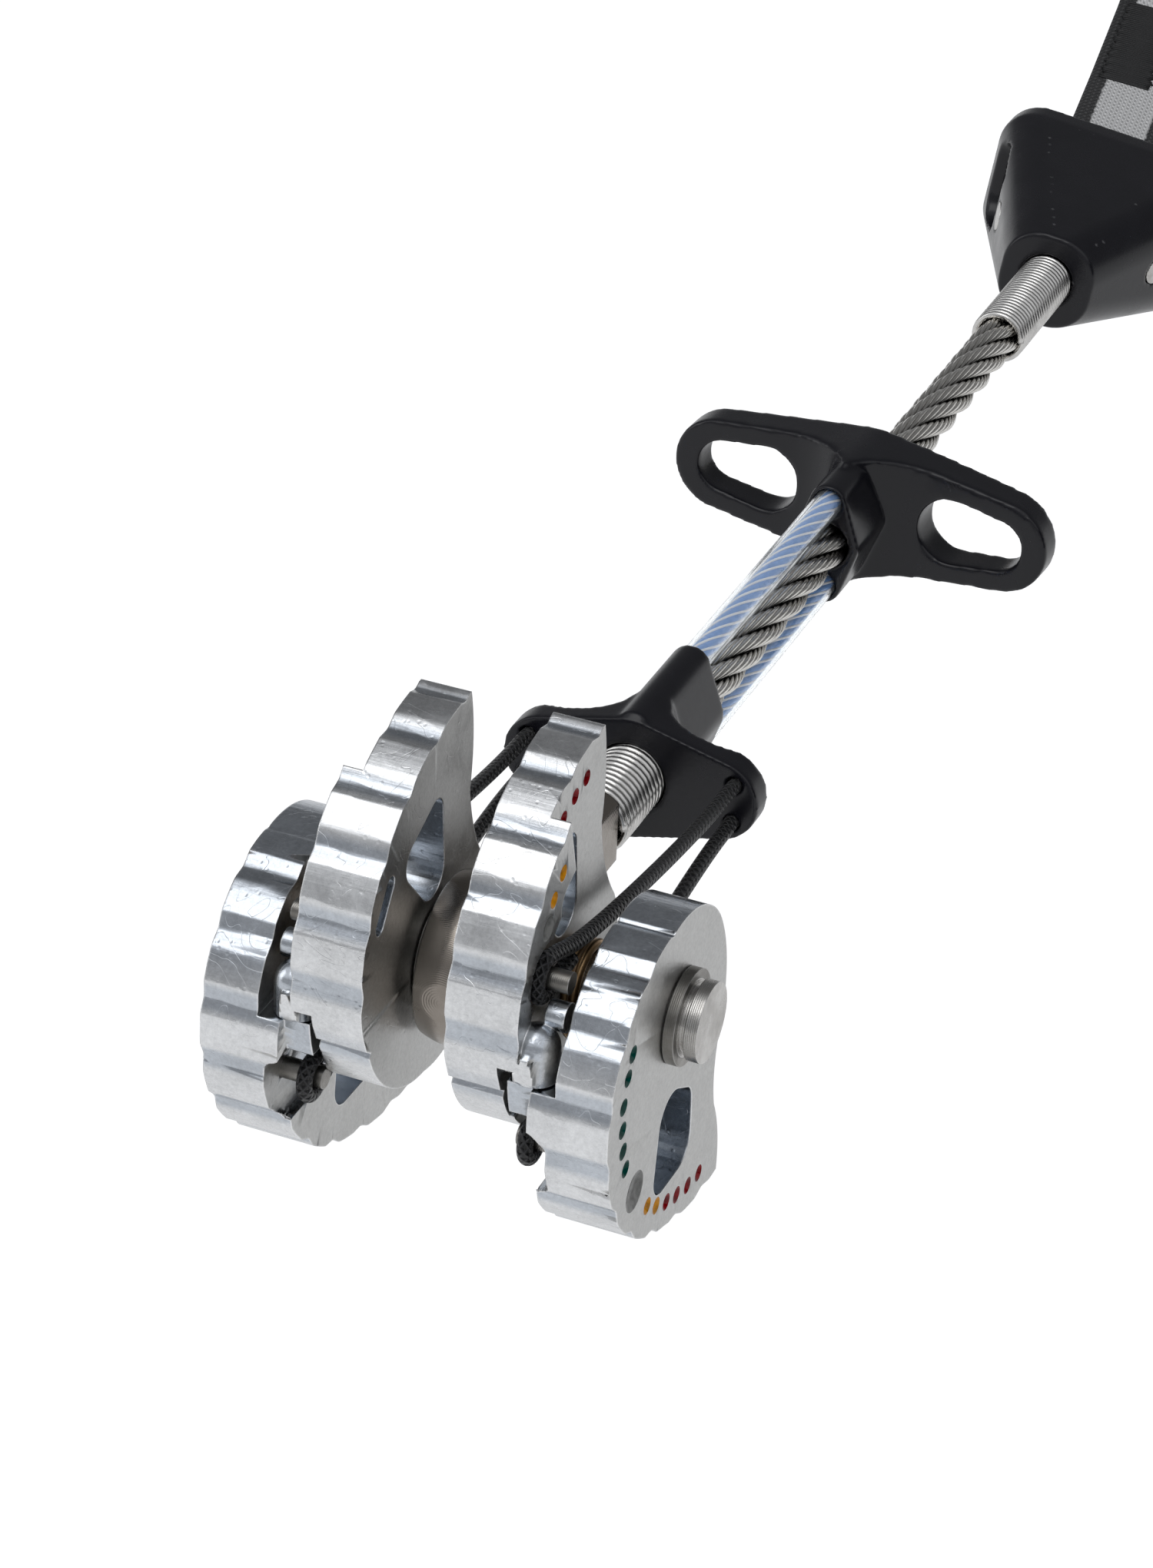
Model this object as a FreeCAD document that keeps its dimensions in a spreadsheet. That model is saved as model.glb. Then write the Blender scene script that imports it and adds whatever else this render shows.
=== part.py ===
"""Spring loaded camming device: four toothed cam lobes on one axle, one cable stem.

Frame, in millimetres: the axle's centre is the origin, +X runs along the axle, +Y runs back
along the stem to the sling, and the inner lobes' tips point up, along +Z.
Every driving size is a named cell of the sheet "dims". Outlines are drawn as chains of circles
joined by tangent lines, and the lobes' treads follow a logarithmic spiral with milled teeth.
"""
import FreeCAD, Part
import math
import os
import re
import Sketcher
from FreeCAD import Placement, Rotation, Vector

os.makedirs("parts", exist_ok=True)
doc = FreeCAD.newDocument("camming_device")

# ---------------------------------------------------------------- driving dimensions
DIMENSIONS = {
    # axle, its washers and heads
    "axle_dia": 6.35, "neck_length": 0.55, "head_dia": 6.6, "head_thick": 1.05, "neck_dia": 5.4,
    "washer_dia": 7.9, "washer_thick": 0.9, "run_gap": 0.05, "side_gap": 0.12,
    # swaged terminal on the stem's front end, and the spacers beside it
    "terminal_half": 2.5, "terminal_dome": 7.2, "terminal_nose": 7.0, "terminal_neck": 3.7,
    "terminal_back": 22.8, "spacer_dia": 9.6,
    # inner lobes
    "inner_face": 3.44, "inner_thick": 4.32, "inner_rim": 1.7, "inner_tip_angle": 76,
    "heel_pad": 0.4,
    # outer lobes
    "outer_face": 17.18, "outer_thin": 4.68, "outer_thick": 6.68, "outer_tip_angle": 297,
    # the spiral tread: radius square to the stem, growth per radian, teeth
    "tread_radius": 20.1, "spiral_growth": 0.2467, "tip_growth": 0.43, "heel_growth": 0.31,
    "tooth_pitch": 17.5, "tooth_depth": 0.5, "ridge_share": 0.45, "heel_radius": 10.7,
    # stops: a domed post on each inner lobe rests on a ledge of the outer lobe
    "ledge_height": 0.95, "stop_gap": 0.15, "post_rad": 1.9, "post_reach": 11.4, "post_rise": 2.6,
    "stud_rad": 1.2,
    # the outer lobe's nose, and the pocket below it where the cord loops round its pin
    "nose_length": 2.2, "nose_front": 12.9, "nose_inside": 9.9, "nose_drop": 4.2,
    "pocket_rad": 1.9, "pocket_long": 3.5, "pocket_back": 6.9,
    # pins that hold the pull cords on the lobes
    "pin_dia": 1.8, "pin_inner_reach": 8.8, "pin_inner_rise": 6.4,
    "pin_outer_reach": 9.8, "pin_outer_drop": 7.8,
    # torsion springs
    "spring_wire": 0.8, "spring_mean": 3.75,
    # stem: cable, sleeve coils
    "cable_dia": 4.5, "coil_dia": 6.4, "coil_pitch": 0.7, "coil_end": 33.2,
    "ferrule_dia": 5.74, "ferrule_length": 17.5, "ferrule_pitch": 0.7,
    # yoke that the pull cords start from
    "yoke_front": 31.2, "yoke_thick": 2.6, "yoke_length": 13.8, "yoke_wing": 7.8,
    "yoke_wing_rad": 3.8, "yoke_hump": 5.7, "yoke_blend": 3.2, "yoke_dip": 0.5,
    "hole_span": 9.4, "hole_rise": 1.83, "hole_dia": 1.45,
    # the two covered link cables, and the housings that they run between
    "link_offset": 4.28, "tube_dia": 2.7, "tube_wall": 0.35, "link_dia": 1.9,
    "socket_depth": 7, "housing_rad": 1.85, "housing_half": 3.3,
    # trigger bar
    "trigger_front": 79, "trigger_boss": 9, "trigger_thick": 4.2, "trigger_half": 19.2,
    "trigger_end": 4.7, "trigger_hump": 6.6, "trigger_sweep": 8, "trigger_valley": 4.8,
    "trigger_tilt": 3.4, "trigger_roll": 2.0,
    "slot_centre": 11.5, "slot_half": 5.2, "slot_rad": 3.3, "slot_end": 2.6,
    # thumb piece: a hollow flared horn with a window in each side
    "thumb_front": 147, "horn_length": 24, "rim_length": 2.5, "thumb_collar": 4.3,
    "thumb_half": 14, "thumb_rise": 7.3, "thumb_drop": 9, "thumb_corner": 4.4, "thumb_wall": 1.7,
    "thumb_roll": 8, "pin_setback": 15.2, "sling_pin": 3, "window_setback": 10.5,
    "window_rad": 2.6,
    # sling of flat webbing
    "web_width": 10.5, "web_thick": 1.5, "tack_start": 33, "tack_length": 16,
    "sling_length": 118, "sling_bow": 6.5, "sling_turn": 5, "sling_swing": 8, "sling_rise": 8,
    # pull cords: a corner behind the yoke, a slight bend, and a teardrop eye round the pin
    "cord_dia": 1.3, "cord_corner": 1.1, "cord_bend": 23, "cord_throat": 7.5,
}
dims = doc.addObject("Spreadsheet::Sheet", "dims")
for row, (alias, number) in enumerate(DIMENSIONS.items(), start=1):
    dims.set("A%d" % row, alias)
    dims.set("B%d" % row, str(number))
    dims.setAlias("B%d" % row, alias)
doc.recompute()


def size(name):
    """The value of one cell of the sheet."""
    return float(dims.get(name))


def value(expression):
    """The number that an expression of sheet names stands for, worked out by the document."""
    return float(dims.evalExpression(expression)) if isinstance(expression, str) else expression


def bind(thing, **expressions):
    """Bind properties of an object to expressions: a double underscore stands for a dot."""
    for prop, expression in expressions.items():
        thing.setExpression(prop.replace("__", "."), expression)
    return thing


def local(expression):
    """Write an expression of bare sheet names so that another object can use it."""
    return re.sub(r"[a-z_]+[a-z]", lambda word: "dims." + word.group(), expression)


# ---------------------------------------------------------------- helpers for parts
SIDE_VIEW = Rotation(Vector(1, 1, 1), 120)       # sketch x -> Y, sketch y -> Z, normal -> +X
BACK_VIEW = Rotation(Vector(1, 0, 0), 90)        # sketch x -> X, sketch y -> Z, normal -> -Y
ALONG = {"x": Rotation(Vector(0, 1, 0), 90), "y": Rotation(Vector(1, 0, 0), -90), "z": Rotation()}


def cylinder(name, radius, length, axis="x", x="0", y="0", z="0"):
    """Part::Cylinder along one axis from the point x, y, z, all bound to the sheet."""
    thing = doc.addObject("Part::Cylinder", name)
    thing.Placement = Placement(Vector(), ALONG[axis])
    return bind(thing, Radius=local(radius), Height=local(length), Placement__Base__x=local(x),
                Placement__Base__y=local(y), Placement__Base__z=local(z))


def box(name, low, high):
    """Part::Box between two corners, each given as three expressions."""
    thing = doc.addObject("Part::Box", name)
    bind(thing, Length=local("%s - ( %s )" % (high[0], low[0])),
         Width=local("%s - ( %s )" % (high[1], low[1])),
         Height=local("%s - ( %s )" % (high[2], low[2])))
    return bind(thing, Placement__Base__x=local(low[0]), Placement__Base__y=local(low[1]),
                Placement__Base__z=local(low[2]))


def fuse(name, pieces):
    thing = doc.addObject("Part::MultiFuse", name)
    thing.Shapes = pieces
    thing.Refine = True
    return thing


def cut(name, base, tool):
    thing = doc.addObject("Part::Cut", name)
    thing.Base, thing.Tool = base, tool
    thing.Refine = True
    return thing


def common(name, pieces):
    thing = doc.addObject("Part::MultiCommon", name)
    thing.Shapes = pieces
    thing.Refine = True
    return thing


def solid(name, shape, placement=None):
    """Part::Feature for a shape that no other feature fits."""
    thing = doc.addObject("Part::Feature", name)
    thing.Shape = shape
    if placement:
        thing.Placement = placement
    return thing


def tangent_chain(circles):
    """Arcs and lines round a chain of circles in anticlockwise order.

    The outward normal of the line from one circle to the next makes with it an angle whose
    cosine is the difference of the two radii over the distance of their centres.
    """
    normals = []
    for (ax, ay, ar), (bx, by, br) in zip(circles, circles[1:] + circles[:1]):
        span = math.hypot(bx - ax, by - ay)
        ux, uy = (bx - ax) / span, (by - ay) / span
        along = (ar - br) / span
        across = math.sqrt(1 - along * along)
        normals.append((ux * along + uy * across, uy * along - ux * across))
    pieces = []
    for i, (cx, cy, cr) in enumerate(circles):
        start, end = normals[i - 1], normals[i]
        a0, a1 = math.atan2(start[1], start[0]), math.atan2(end[1], end[0])
        a1 += 2 * math.pi if a1 < a0 else 0
        pieces.append(Part.ArcOfCircle(Part.Circle(Vector(cx, cy, 0), Vector(0, 0, 1), cr), a0, a1))
        nx, ny, nr = circles[(i + 1) % len(circles)]
        pieces.append(Part.LineSegment(Vector(cx + cr * end[0], cy + cr * end[1], 0),
                                       Vector(nx + nr * end[0], ny + nr * end[1], 0)))
    return pieces


def outline(name, chains, rotation, place=("0", "0", "0"), owner=None):
    """A fully constrained sketch of one or more chains of circles.

    Each circle is three expressions: its centre's two coordinates and its radius.
    """
    maker = owner.newObject if owner else doc.addObject
    sketch = maker("Sketcher::SketchObject", name)
    sketch.Placement = Placement(Vector(), rotation)
    for axis, expression in zip("xyz", place):
        sketch.setExpression("Placement.Base." + axis, local(expression))
    for chain in chains:
        numbers = [tuple(value(part) for part in circle) for circle in chain]
        first = sketch.GeometryCount
        for piece in tangent_chain(numbers):
            sketch.addGeometry(piece, False)
        count = 2 * len(chain)
        for i in range(count):
            sketch.addConstraint(Sketcher.Constraint("Tangent", first + i, 2,
                                                     first + (i + 1) % count, 1))
        for i, circle in enumerate(chain):
            arc = first + 2 * i
            for kind, expression, number in zip(("DistanceX", "DistanceY"), circle, numbers[i]):
                index = sketch.addConstraint(Sketcher.Constraint(kind, -1, 1, arc, 3, number))
                sketch.setExpression("Constraints[%d]" % index, local(expression))
            index = sketch.addConstraint(Sketcher.Constraint("Radius", arc, numbers[i][2]))
            sketch.setExpression("Constraints[%d]" % index, local(circle[2]))
    return sketch


def extrude(name, profile, direction, length, back="0"):
    thing = doc.addObject("Part::Extrusion", name)
    thing.Base, thing.DirMode, thing.Dir, thing.Solid = profile, "Custom", Vector(*direction), True
    return bind(thing, LengthFwd=local(length), LengthRev=local(back))


def horn(name, sections):
    """A solid through outlines that stand one behind another, with straight sides between."""
    thing = doc.addObject("Part::Loft", name)
    thing.Sections, thing.Solid, thing.Ruled = sections, True, True
    return thing


def named(thing, label):
    """Give a finished sub-part the label that names its file."""
    thing.Label = label
    PARTS.append(thing)
    return thing


def mirrored(thing, name):
    """The same piece on the other side of the plane X = 0."""
    twin = doc.addObject("Part::Mirroring", name)
    twin.Source, twin.Base, twin.Normal = thing, Vector(), Vector(1, 0, 0)
    return twin


def pair(thing, label):
    """Name a right-hand piece and make its left-hand twin."""
    named(thing, label + "_right")
    return named(mirrored(thing, label + "_twin"), label + "_left")


PARTS = []
SIDES = {"right": 1, "left": -1}

# ---------------------------------------------------------------- axle and what sits on it
stack = "outer_face + side_gap + washer_thick"
axle_half = stack + " + neck_length + head_thick"
axle_pieces = [cylinder("axle_neck", "neck_dia / 2", "2 * ( %s )" % axle_half,
                        x="- ( %s )" % axle_half),
               cylinder("axle_shaft", "axle_dia / 2", "2 * ( %s )" % stack,
                        x="- ( %s )" % stack),
               cylinder("axle_head_right", "head_dia / 2", "head_thick",
                        x=stack + " + neck_length"),
               cylinder("axle_head_left", "head_dia / 2", "head_thick",
                        x="- ( %s )" % axle_half)]
named(fuse("axle_fused", axle_pieces), "axle")


def ring(name, outer, inner, start, length):
    """A flat ring round the axle."""
    return cut(name, cylinder(name + "_disc", outer, length, x=start),
               cylinder(name + "_bore", inner, length, x=start))


pair(ring("washer_ring", "washer_dia / 2", "axle_dia / 2", "outer_face + side_gap",
          "washer_thick"), "washer")
pair(ring("spacer_ring", "spacer_dia / 2", "axle_dia / 2", "terminal_half",
          "inner_face - terminal_half - side_gap"), "spacer")


def coil_stack(front, back, pitch, radius, inner, axis):
    """A close-wound coil as a stack of bevelled rings, turned about the stem or the axle."""
    turns = max(1, round((back - front) / pitch))
    pitch = (back - front) / turns
    groove = radius - 0.3 * pitch
    points = [(inner, front), (groove, front)]
    for i in range(turns):
        points += [(radius, front + (i + 0.5) * pitch), (groove, front + (i + 1) * pitch)]
    points += [(inner, back), (inner, front)]
    if axis == "x":
        points = [(along, away) for away, along in points]
    face = Part.Face(Part.makePolygon([Vector(x, y, 0) for x, y in points]))
    return face.revolve(Vector(), Vector(1, 0, 0) if axis == "x" else Vector(0, 1, 0), 360)


spring_inside = value("inner_face + inner_thick + heel_pad + side_gap")
spring_outside = value("outer_face - outer_thick - side_gap")
pair(solid("spring_rings", coil_stack(
    spring_inside, spring_outside, size("spring_wire"), value("spring_mean + spring_wire / 2"),
    value("spring_mean - spring_wire / 2"), "x")), "torsion_spring")

# ---------------------------------------------------------------- terminal, cable and sleeves
ball = doc.addObject("Part::Sphere", "terminal_ball")
bind(ball, Radius="dims.terminal_dome")
terminal_round = fuse("terminal_round", [
    ball, cylinder("terminal_shank", "terminal_neck", "terminal_back", "y")])
terminal_flats = box("terminal_flats", ("-terminal_half", "-terminal_nose", "-terminal_dome"),
                     ("terminal_half", "terminal_back", "terminal_dome"))
named(cut("terminal_bored", common("terminal_milled", [terminal_round, terminal_flats]),
          cylinder("terminal_bore", "axle_dia / 2", "4 * terminal_half", x="-2 * terminal_half")),
      "terminal")

cable_end = "thumb_front + 4"
named(cylinder("cable_core", "cable_dia / 2", cable_end + " - terminal_back", "y",
               y="terminal_back"), "stem_cable")
named(solid("front_coil", coil_stack(value("terminal_back + side_gap"), size("coil_end"),
                                     size("coil_pitch"), size("coil_dia") / 2,
                                     size("cable_dia") / 2, "y")), "stem_coil")
named(solid("rear_coil", coil_stack(
    value("thumb_front + 1 - ferrule_length"), value("thumb_front + 1"), size("ferrule_pitch"),
    size("ferrule_dia") / 2, size("cable_dia") / 2, "y")), "ferrule_coil")

# ---------------------------------------------------------------- cam lobes
def spiral_radius(angle, flare=True):
    """Tread radius at an angle from +Y for a lobe whose tip points down.

    The radius grows by the same share for each radian, so a wall meets the tread at the same
    slope wherever it touches. The heel grows a little faster, and so does the tip.
    """
    growth, heel = size("spiral_growth"), size("heel_growth")
    base = size("tread_radius")
    if angle < 180:
        at_heel = base * math.exp(growth * math.radians(180 - 270))
        return at_heel * math.exp(heel * math.radians(angle - 180))
    radius = base * math.exp(growth * math.radians(angle - 270))
    if flare and angle > 270:
        radius = base * math.exp(size("tip_growth") * math.radians(angle - 270))
    return radius


def tread(first, last, ridge, flare=True):
    """Points of a toothed tread: flat ridges and flat valleys with short slopes between."""
    pitch, depth, share = size("tooth_pitch"), size("tooth_depth"), size("ridge_share")
    rest = (1 - share) / 3
    marks = []
    k = math.floor((first - ridge) / pitch) - 1
    while ridge + k * pitch < last + pitch:
        top = ridge + k * pitch
        marks += [(top - share / 2 * pitch, 0), (top + share / 2 * pitch, 0),
                  (top + (share / 2 + rest) * pitch, depth),
                  (top + (share / 2 + 2 * rest) * pitch, depth)]
        k += 1
    inside = [(a, d) for a, d in marks if first + 1 < a < last - 1]
    stops = [(first, 0)] + inside + [(last, 0)]
    points = []
    for a, d in stops:
        r, t = spiral_radius(a, flare) - d, math.radians(a)
        points.append(Vector(0, r * math.cos(t), r * math.sin(t)))
    return points


def polar(radius, angle):
    return Vector(0, radius * math.cos(math.radians(angle)), radius * math.sin(math.radians(angle)))


def outer_outline():
    """Outline of an outer lobe: spiral tread, hooked tip, waisted back and round hub."""
    heel, tip = size("heel_radius"), size("outer_tip_angle")
    front = tread(102, tip, 174)
    tip_radius = spiral_radius(tip)
    edges = [Part.makeLine(a, b) for a, b in zip(front, front[1:])]
    back = [front[-1], polar(0.895 * tip_radius, 300.2), polar(0.70 * tip_radius, 303.5),
            polar(1.29 * heel, 311.0), polar(1.13 * heel, 322.5)]
    edges += [Part.Arc(*back[0:3]).toShape(), Part.Arc(*back[2:5]).toShape(),
              Part.Arc(back[-1], polar(heel, 345), polar(0.86 * heel, 30)).toShape()]
    edges.append(Part.Arc(polar(0.86 * heel, 30), polar(0.82 * heel, 62), front[0]).toShape())
    return Part.Wire(edges)


def inner_outline():
    """Outline of an inner lobe, drawn with its tip down and then turned over."""
    heel, tip = size("heel_radius"), 360 - size("inner_tip_angle")
    front = tread(166, tip, 175, flare=False)
    tip_radius = spiral_radius(tip, flare=False)
    edges = [Part.makeLine(a, b) for a, b in zip(front, front[1:])]
    back = [front[-1], polar(0.845 * tip_radius, 288.6), polar(0.61 * tip_radius, 294.8),
            polar(0.92 * heel, 313), polar(0.90 * heel, 340)]
    edges += [Part.Arc(*back[0:3]).toShape(), Part.Arc(*back[2:5]).toShape(),
              Part.Arc(back[-1], polar(heel, 30), polar(heel, 100)).toShape()]
    edges.append(Part.Arc(polar(heel, 100), polar(1.09 * heel, 135), front[0]).toShape())
    wire = Part.Wire(edges)
    return wire.mirror(Vector(), Vector(0, 0, 1))


def sector(radius_in, radius_out, first, last):
    """A flat ring sector about the axle, from one angle to another."""
    mid = (first + last) / 2
    ends = [Part.Arc(polar(radius_out, first), polar(radius_out, mid), polar(radius_out, last)),
            Part.LineSegment(polar(radius_out, last), polar(radius_in, last)),
            Part.Arc(polar(radius_in, last), polar(radius_in, mid), polar(radius_in, first)),
            Part.LineSegment(polar(radius_in, first), polar(radius_out, first))]
    return Part.Wire([piece.toShape() for piece in ends])


def slab(name, wire, start, length):
    """A plate of one outline, from one place along the axle and of a bound thickness."""
    face = solid(name + "_face", Part.Face(wire), Placement(Vector(value(start), 0, 0), Rotation()))
    bind(face, Placement__Base__x=local(start))
    return extrude(name, face, (1, 0, 0), length)


# outer lobe, right-hand: a thin plate, thickened below the ledge, with a nose on its inner side
outer_wire = outer_outline()
thick_face = "outer_face - outer_thick"
outer_plate = slab("outer_plate", outer_wire, "outer_face - outer_thin", "outer_thin")
below_ledge = box("below_ledge", ("0", "-30", "-40"), ("outer_face", "30", "-ledge_height"))
outer_step = cut("outer_inside", common("outer_lower", [
    slab("outer_step", outer_wire, thick_face, "outer_thick - outer_thin"), below_ledge]),
    cylinder("spring_room", "spring_mean + spring_wire / 2 + 0.6", "outer_face"))
nose_tooth = common("nose_tooth", [
    slab("nose_sector", sector(size("nose_inside"), size("nose_front"), 178, 206),
         thick_face + " - nose_length", "nose_length + 0.5"),
    box("nose_room", ("0", "-30", "-nose_drop"), ("outer_face", "0", "-ledge_height"))])
outer_solid = fuse("outer_solid", [outer_plate, outer_step, nose_tooth])
pocket_top, pocket_low = "-nose_drop - pocket_rad", "-nose_drop - pocket_rad - pocket_long"
cord_pocket = extrude("cord_pocket", outline("cord_pocket_outline", [[
    (thick_face + " - 0.5", pocket_low, "pocket_rad"),
    (thick_face + " - 0.5", pocket_top, "pocket_rad")]], BACK_VIEW, ("0", "-pocket_back", "0")),
    (0, -1, 0), "22")
outer_window = extrude("outer_window", outline("outer_window_outline", [[
    ("-0.5", "-9.6", "2.5"), ("-1.5", "-13.9", "2.0"), ("1.9", "-13.6", "2.4"),
    ("1.9", "-10.6", "2.2")]], SIDE_VIEW, ("5", "0", "0")), (1, 0, 0), "outer_face")
outer_bore = cylinder("outer_bore", "axle_dia / 2 + run_gap", "2 * outer_face")
pin_start = "outer_face - outer_thin - 0.2"
outer_pin_seat = cylinder("outer_pin_seat", "pin_dia / 2", "outer_thin", x=pin_start + " - 4",
                          y="-pin_outer_reach", z="-pin_outer_drop")
outer_seat_trim = common("outer_seat_trim", [outer_pin_seat, box("seat_depth", (
    pin_start + " - 4", "-30", "-30"), (pin_start + " + 0.5", "0", "0"))])
pair(cut("outer_lobe", outer_solid, fuse("outer_cuts", [
    cord_pocket, outer_window, outer_bore, outer_seat_trim])), "cam_outer")

# inner lobe, right-hand: a plate with a raised rim, a domed post on a web and a small stud
inner_wire = inner_outline()
plate_face = "inner_face + inner_thick"
inner_plate = slab("inner_plate", inner_wire, "inner_face", "inner_thick")
inner_rim = common("inner_rim_block", [
    slab("rim_lane", inner_wire, plate_face, "inner_rim"),
    slab("rim_sector", sector(spiral_radius(220) - 4.2, 30, 106, 177.5), plate_face,
         "inner_rim")])
heel_block = common("heel_block", [
    slab("heel_lane", inner_wire, plate_face, "heel_pad"),
    slab("heel_sector", sector(size("heel_radius") - 4.5, 30, 208, 225), plate_face,
         "heel_pad")])
stop_floor = "-ledge_height + stop_gap"
stop_side = "outer_face - outer_thin - side_gap - 0.5"
stop_post = cylinder("stop_post", "post_rad", "post_rise", "z", x=stop_side + " - post_rad",
                     y="-post_reach", z=stop_floor)
stop_dome = doc.addObject("Part::Sphere", "stop_dome")
bind(stop_dome, Radius="dims.post_rad", Placement__Base__x=local(stop_side + " - post_rad"),
     Placement__Base__y="-dims.post_reach", Placement__Base__z=local(stop_floor + " + post_rise"))
stop_web = box("stop_web", (plate_face + " - 1", "-post_reach - 0.6", stop_floor),
               (stop_side + " - post_rad", "-post_reach + 1.8", "post_rise"))
stop_stud = cylinder("stop_stud", "stud_rad", "1.6", x=stop_side + " - 1.6",
                     y="-post_reach + 1.7", z="pin_inner_rise - 2.5")
pin_room = cylinder("pin_room", "pin_dia / 2 + cord_dia + 0.75", "6", x=plate_face + " + 0.3",
                    y="-pin_inner_reach", z="pin_inner_rise")
inner_window = extrude("inner_window", outline("inner_window_outline", [[
    ("-1.0", "12.8", "1.4"), ("-4.4", "10.7", "1.9"), ("-1.3", "7.7", "2.2")]],
    SIDE_VIEW, ("-1", "0", "0")), (1, 0, 0), "inner_face + inner_thick + inner_rim + 2")
key_slot = extrude("key_slot", outline("key_slot_outline", [[
    ("-9.1", "11.0", "0.75"), ("-10.9", "8.3", "0.75")]], SIDE_VIEW, ("2", "0", "0")),
    (1, 0, 0), "inner_face - 2 + 1.3")
inner_bore = cylinder("inner_bore", "axle_dia / 2 + run_gap", "outer_face")
inner_pin_seat = cylinder("inner_pin_seat", "pin_dia / 2", "1.5", x=plate_face + " - 1.2",
                          y="-pin_inner_reach", z="pin_inner_rise")
inner_lobe = cut("inner_lobe", fuse("inner_solid", [inner_plate, inner_rim, heel_block]),
                 fuse("inner_cuts", [pin_room, inner_window, key_slot, inner_bore,
                                     inner_pin_seat]))
stops = cut("stops_clear", fuse("stops", [stop_post, stop_dome, stop_web, stop_stud]),
            box("stop_trim", ("0", "-30", "-30"), ("outer_face", "30", stop_floor)))
pair(fuse("inner_lobe_stops", [inner_lobe, stops]), "cam_inner")

# pins that the cords loop round
pair(cylinder("inner_pin", "pin_dia / 2",
              "outer_face - outer_thin - 0.9 - ( %s - 1.2 )" % plate_face,
              x=plate_face + " - 1.2", y="-pin_inner_reach", z="pin_inner_rise"),
     "cord_pin_inner")
pair(cylinder("outer_pin", "pin_dia / 2", "4.5", x=pin_start + " - 4", y="-pin_outer_reach",
              z="-pin_outer_drop"), "cord_pin_outer")

# ---------------------------------------------------------------- yoke, links and trigger
def housing_section(name, place, more="0"):
    """Outline of the housing across the stem, or one that stands out from it all round."""
    end, flank = "housing_rad + ( %s )" % more, "2.2 + ( %s )" % more
    return outline(name, [[
        ("0", "-link_offset", end), ("housing_half - 2.2", "0", flank),
        ("0", "link_offset", end), ("-housing_half + 2.2", "0", flank)]],
        BACK_VIEW, ("0", place, "0"))


def housing(name, front, back):
    """The narrow upright housing that holds both link cables, as tall as they are apart."""
    return extrude(name, housing_section(name + "_outline", front), (0, 1, 0),
                   "%s - ( %s )" % (back, front))


def plan_block(name, edges, height):
    """A closed plan outline, drawn in X and Y, as a block that is as deep as needed."""
    wire = Part.Wire(Part.sortEdges([edge.toShape() for edge in edges])[0])
    face = solid(name + "_plan", Part.Face(wire),
                 Placement(Vector(0, 0, -height / 2), Rotation()))
    return extrude(name + "_block", face, (0, 0, 1), str(height))


def both_ways(points):
    """Edges of a plan that is the same on both sides, from its right half, front to back.

    A point is two numbers; three points in one entry are the end and middle of an arc.
    """
    edges = []
    for side in (1, -1):
        last = None
        for entry in points:
            arc = isinstance(entry[0], tuple)
            ends = [Vector(side * x, y, 0) for x, y in (entry if arc else [entry])]
            if last and arc:
                edges.append(Part.Arc(last, ends[0], ends[1]))
            elif last:
                edges.append(Part.LineSegment(last, ends[0]))
            last = ends[-1]
        if side > 0:
            finish = last
    start, back = points[0], points[-1]
    back = back[-1] if isinstance(back[0], tuple) else back
    if start[0]:
        edges.append(Part.LineSegment(Vector(-start[0], start[1], 0), Vector(*start, 0)))
    if back[0]:
        edges.append(Part.LineSegment(Vector(-back[0], back[1], 0), finish))
    return edges


wing_outline = outline("yoke_outline", [[
    ("yoke_wing", "0", "yoke_wing_rad"), ("0", "0.2", "yoke_hump - 0.2"),
    ("-yoke_wing", "0", "yoke_wing_rad"), ("0", "-0.2", "yoke_hump - 0.2")]],
    BACK_VIEW, ("0", "yoke_front", "0"))
wing_end, wing_back = value("yoke_wing + yoke_wing_rad") + 1, value("yoke_front + yoke_thick")
low, side = wing_back - size("yoke_dip"), value("housing_half + yoke_blend")
yoke_plan = both_ways([
    (wing_end, size("yoke_front") - 1), (wing_end, wing_back), (side + 2, wing_back),
    ((side + 0.9, low + 0.3 * size("yoke_dip")), (side, low)), (0, low)])
# the wings run into the housing along a hollow curve: a quarter circle, in three bands
flare_front = "yoke_front + yoke_thick - yoke_dip"
flare_rings = [housing_section("flare_ring_%d" % i, "%s + %.2f * yoke_blend" % (flare_front, rise),
                               "%.4f * yoke_blend" % (1 - math.sqrt(1 - (1 - rise) ** 2)))
               for i, rise in enumerate((0.01, 0.12, 0.4, 1))]
yoke_bar = common("yoke_wings", [
    extrude("yoke_bar", wing_outline, (0, 1, 0), "yoke_thick + yoke_blend"),
    fuse("yoke_plan_and_flare", [plan_block("yoke", yoke_plan, 30),
                                 horn("yoke_flare", flare_rings)])])
yoke_back = "yoke_front + yoke_length"
yoke_housing = housing("yoke_housing", "yoke_front + 0.5", yoke_back)
yoke_cuts = [cylinder("yoke_cable_way", "cable_dia / 2 + run_gap", "yoke_length + 2", "y",
                      y="yoke_front - 1"),
             cylinder("yoke_coil_way", "coil_dia / 2 + run_gap", "coil_end + 0.6 - yoke_front + 1",
                      "y", y="yoke_front - 1")]
for sign, word in ((1, "upper"), (-1, "lower")):
    yoke_cuts.append(cylinder("yoke_socket_" + word, "tube_dia / 2", "socket_depth + 1", "y",
                              y=yoke_back + " - socket_depth", z="%d * link_offset" % sign))
    for hand, way in SIDES.items():
        yoke_cuts.append(cylinder("yoke_hole_%s_%s" % (word, hand), "hole_dia / 2",
                                  "yoke_length + 2", "y", x="%d * hole_span" % way,
                                  y="yoke_front - 1", z="%d * hole_rise" % sign))
named(cut("yoke_bored", fuse("yoke_solid", [yoke_bar, yoke_housing]),
          fuse("yoke_cuts", yoke_cuts)), "yoke")

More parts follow.
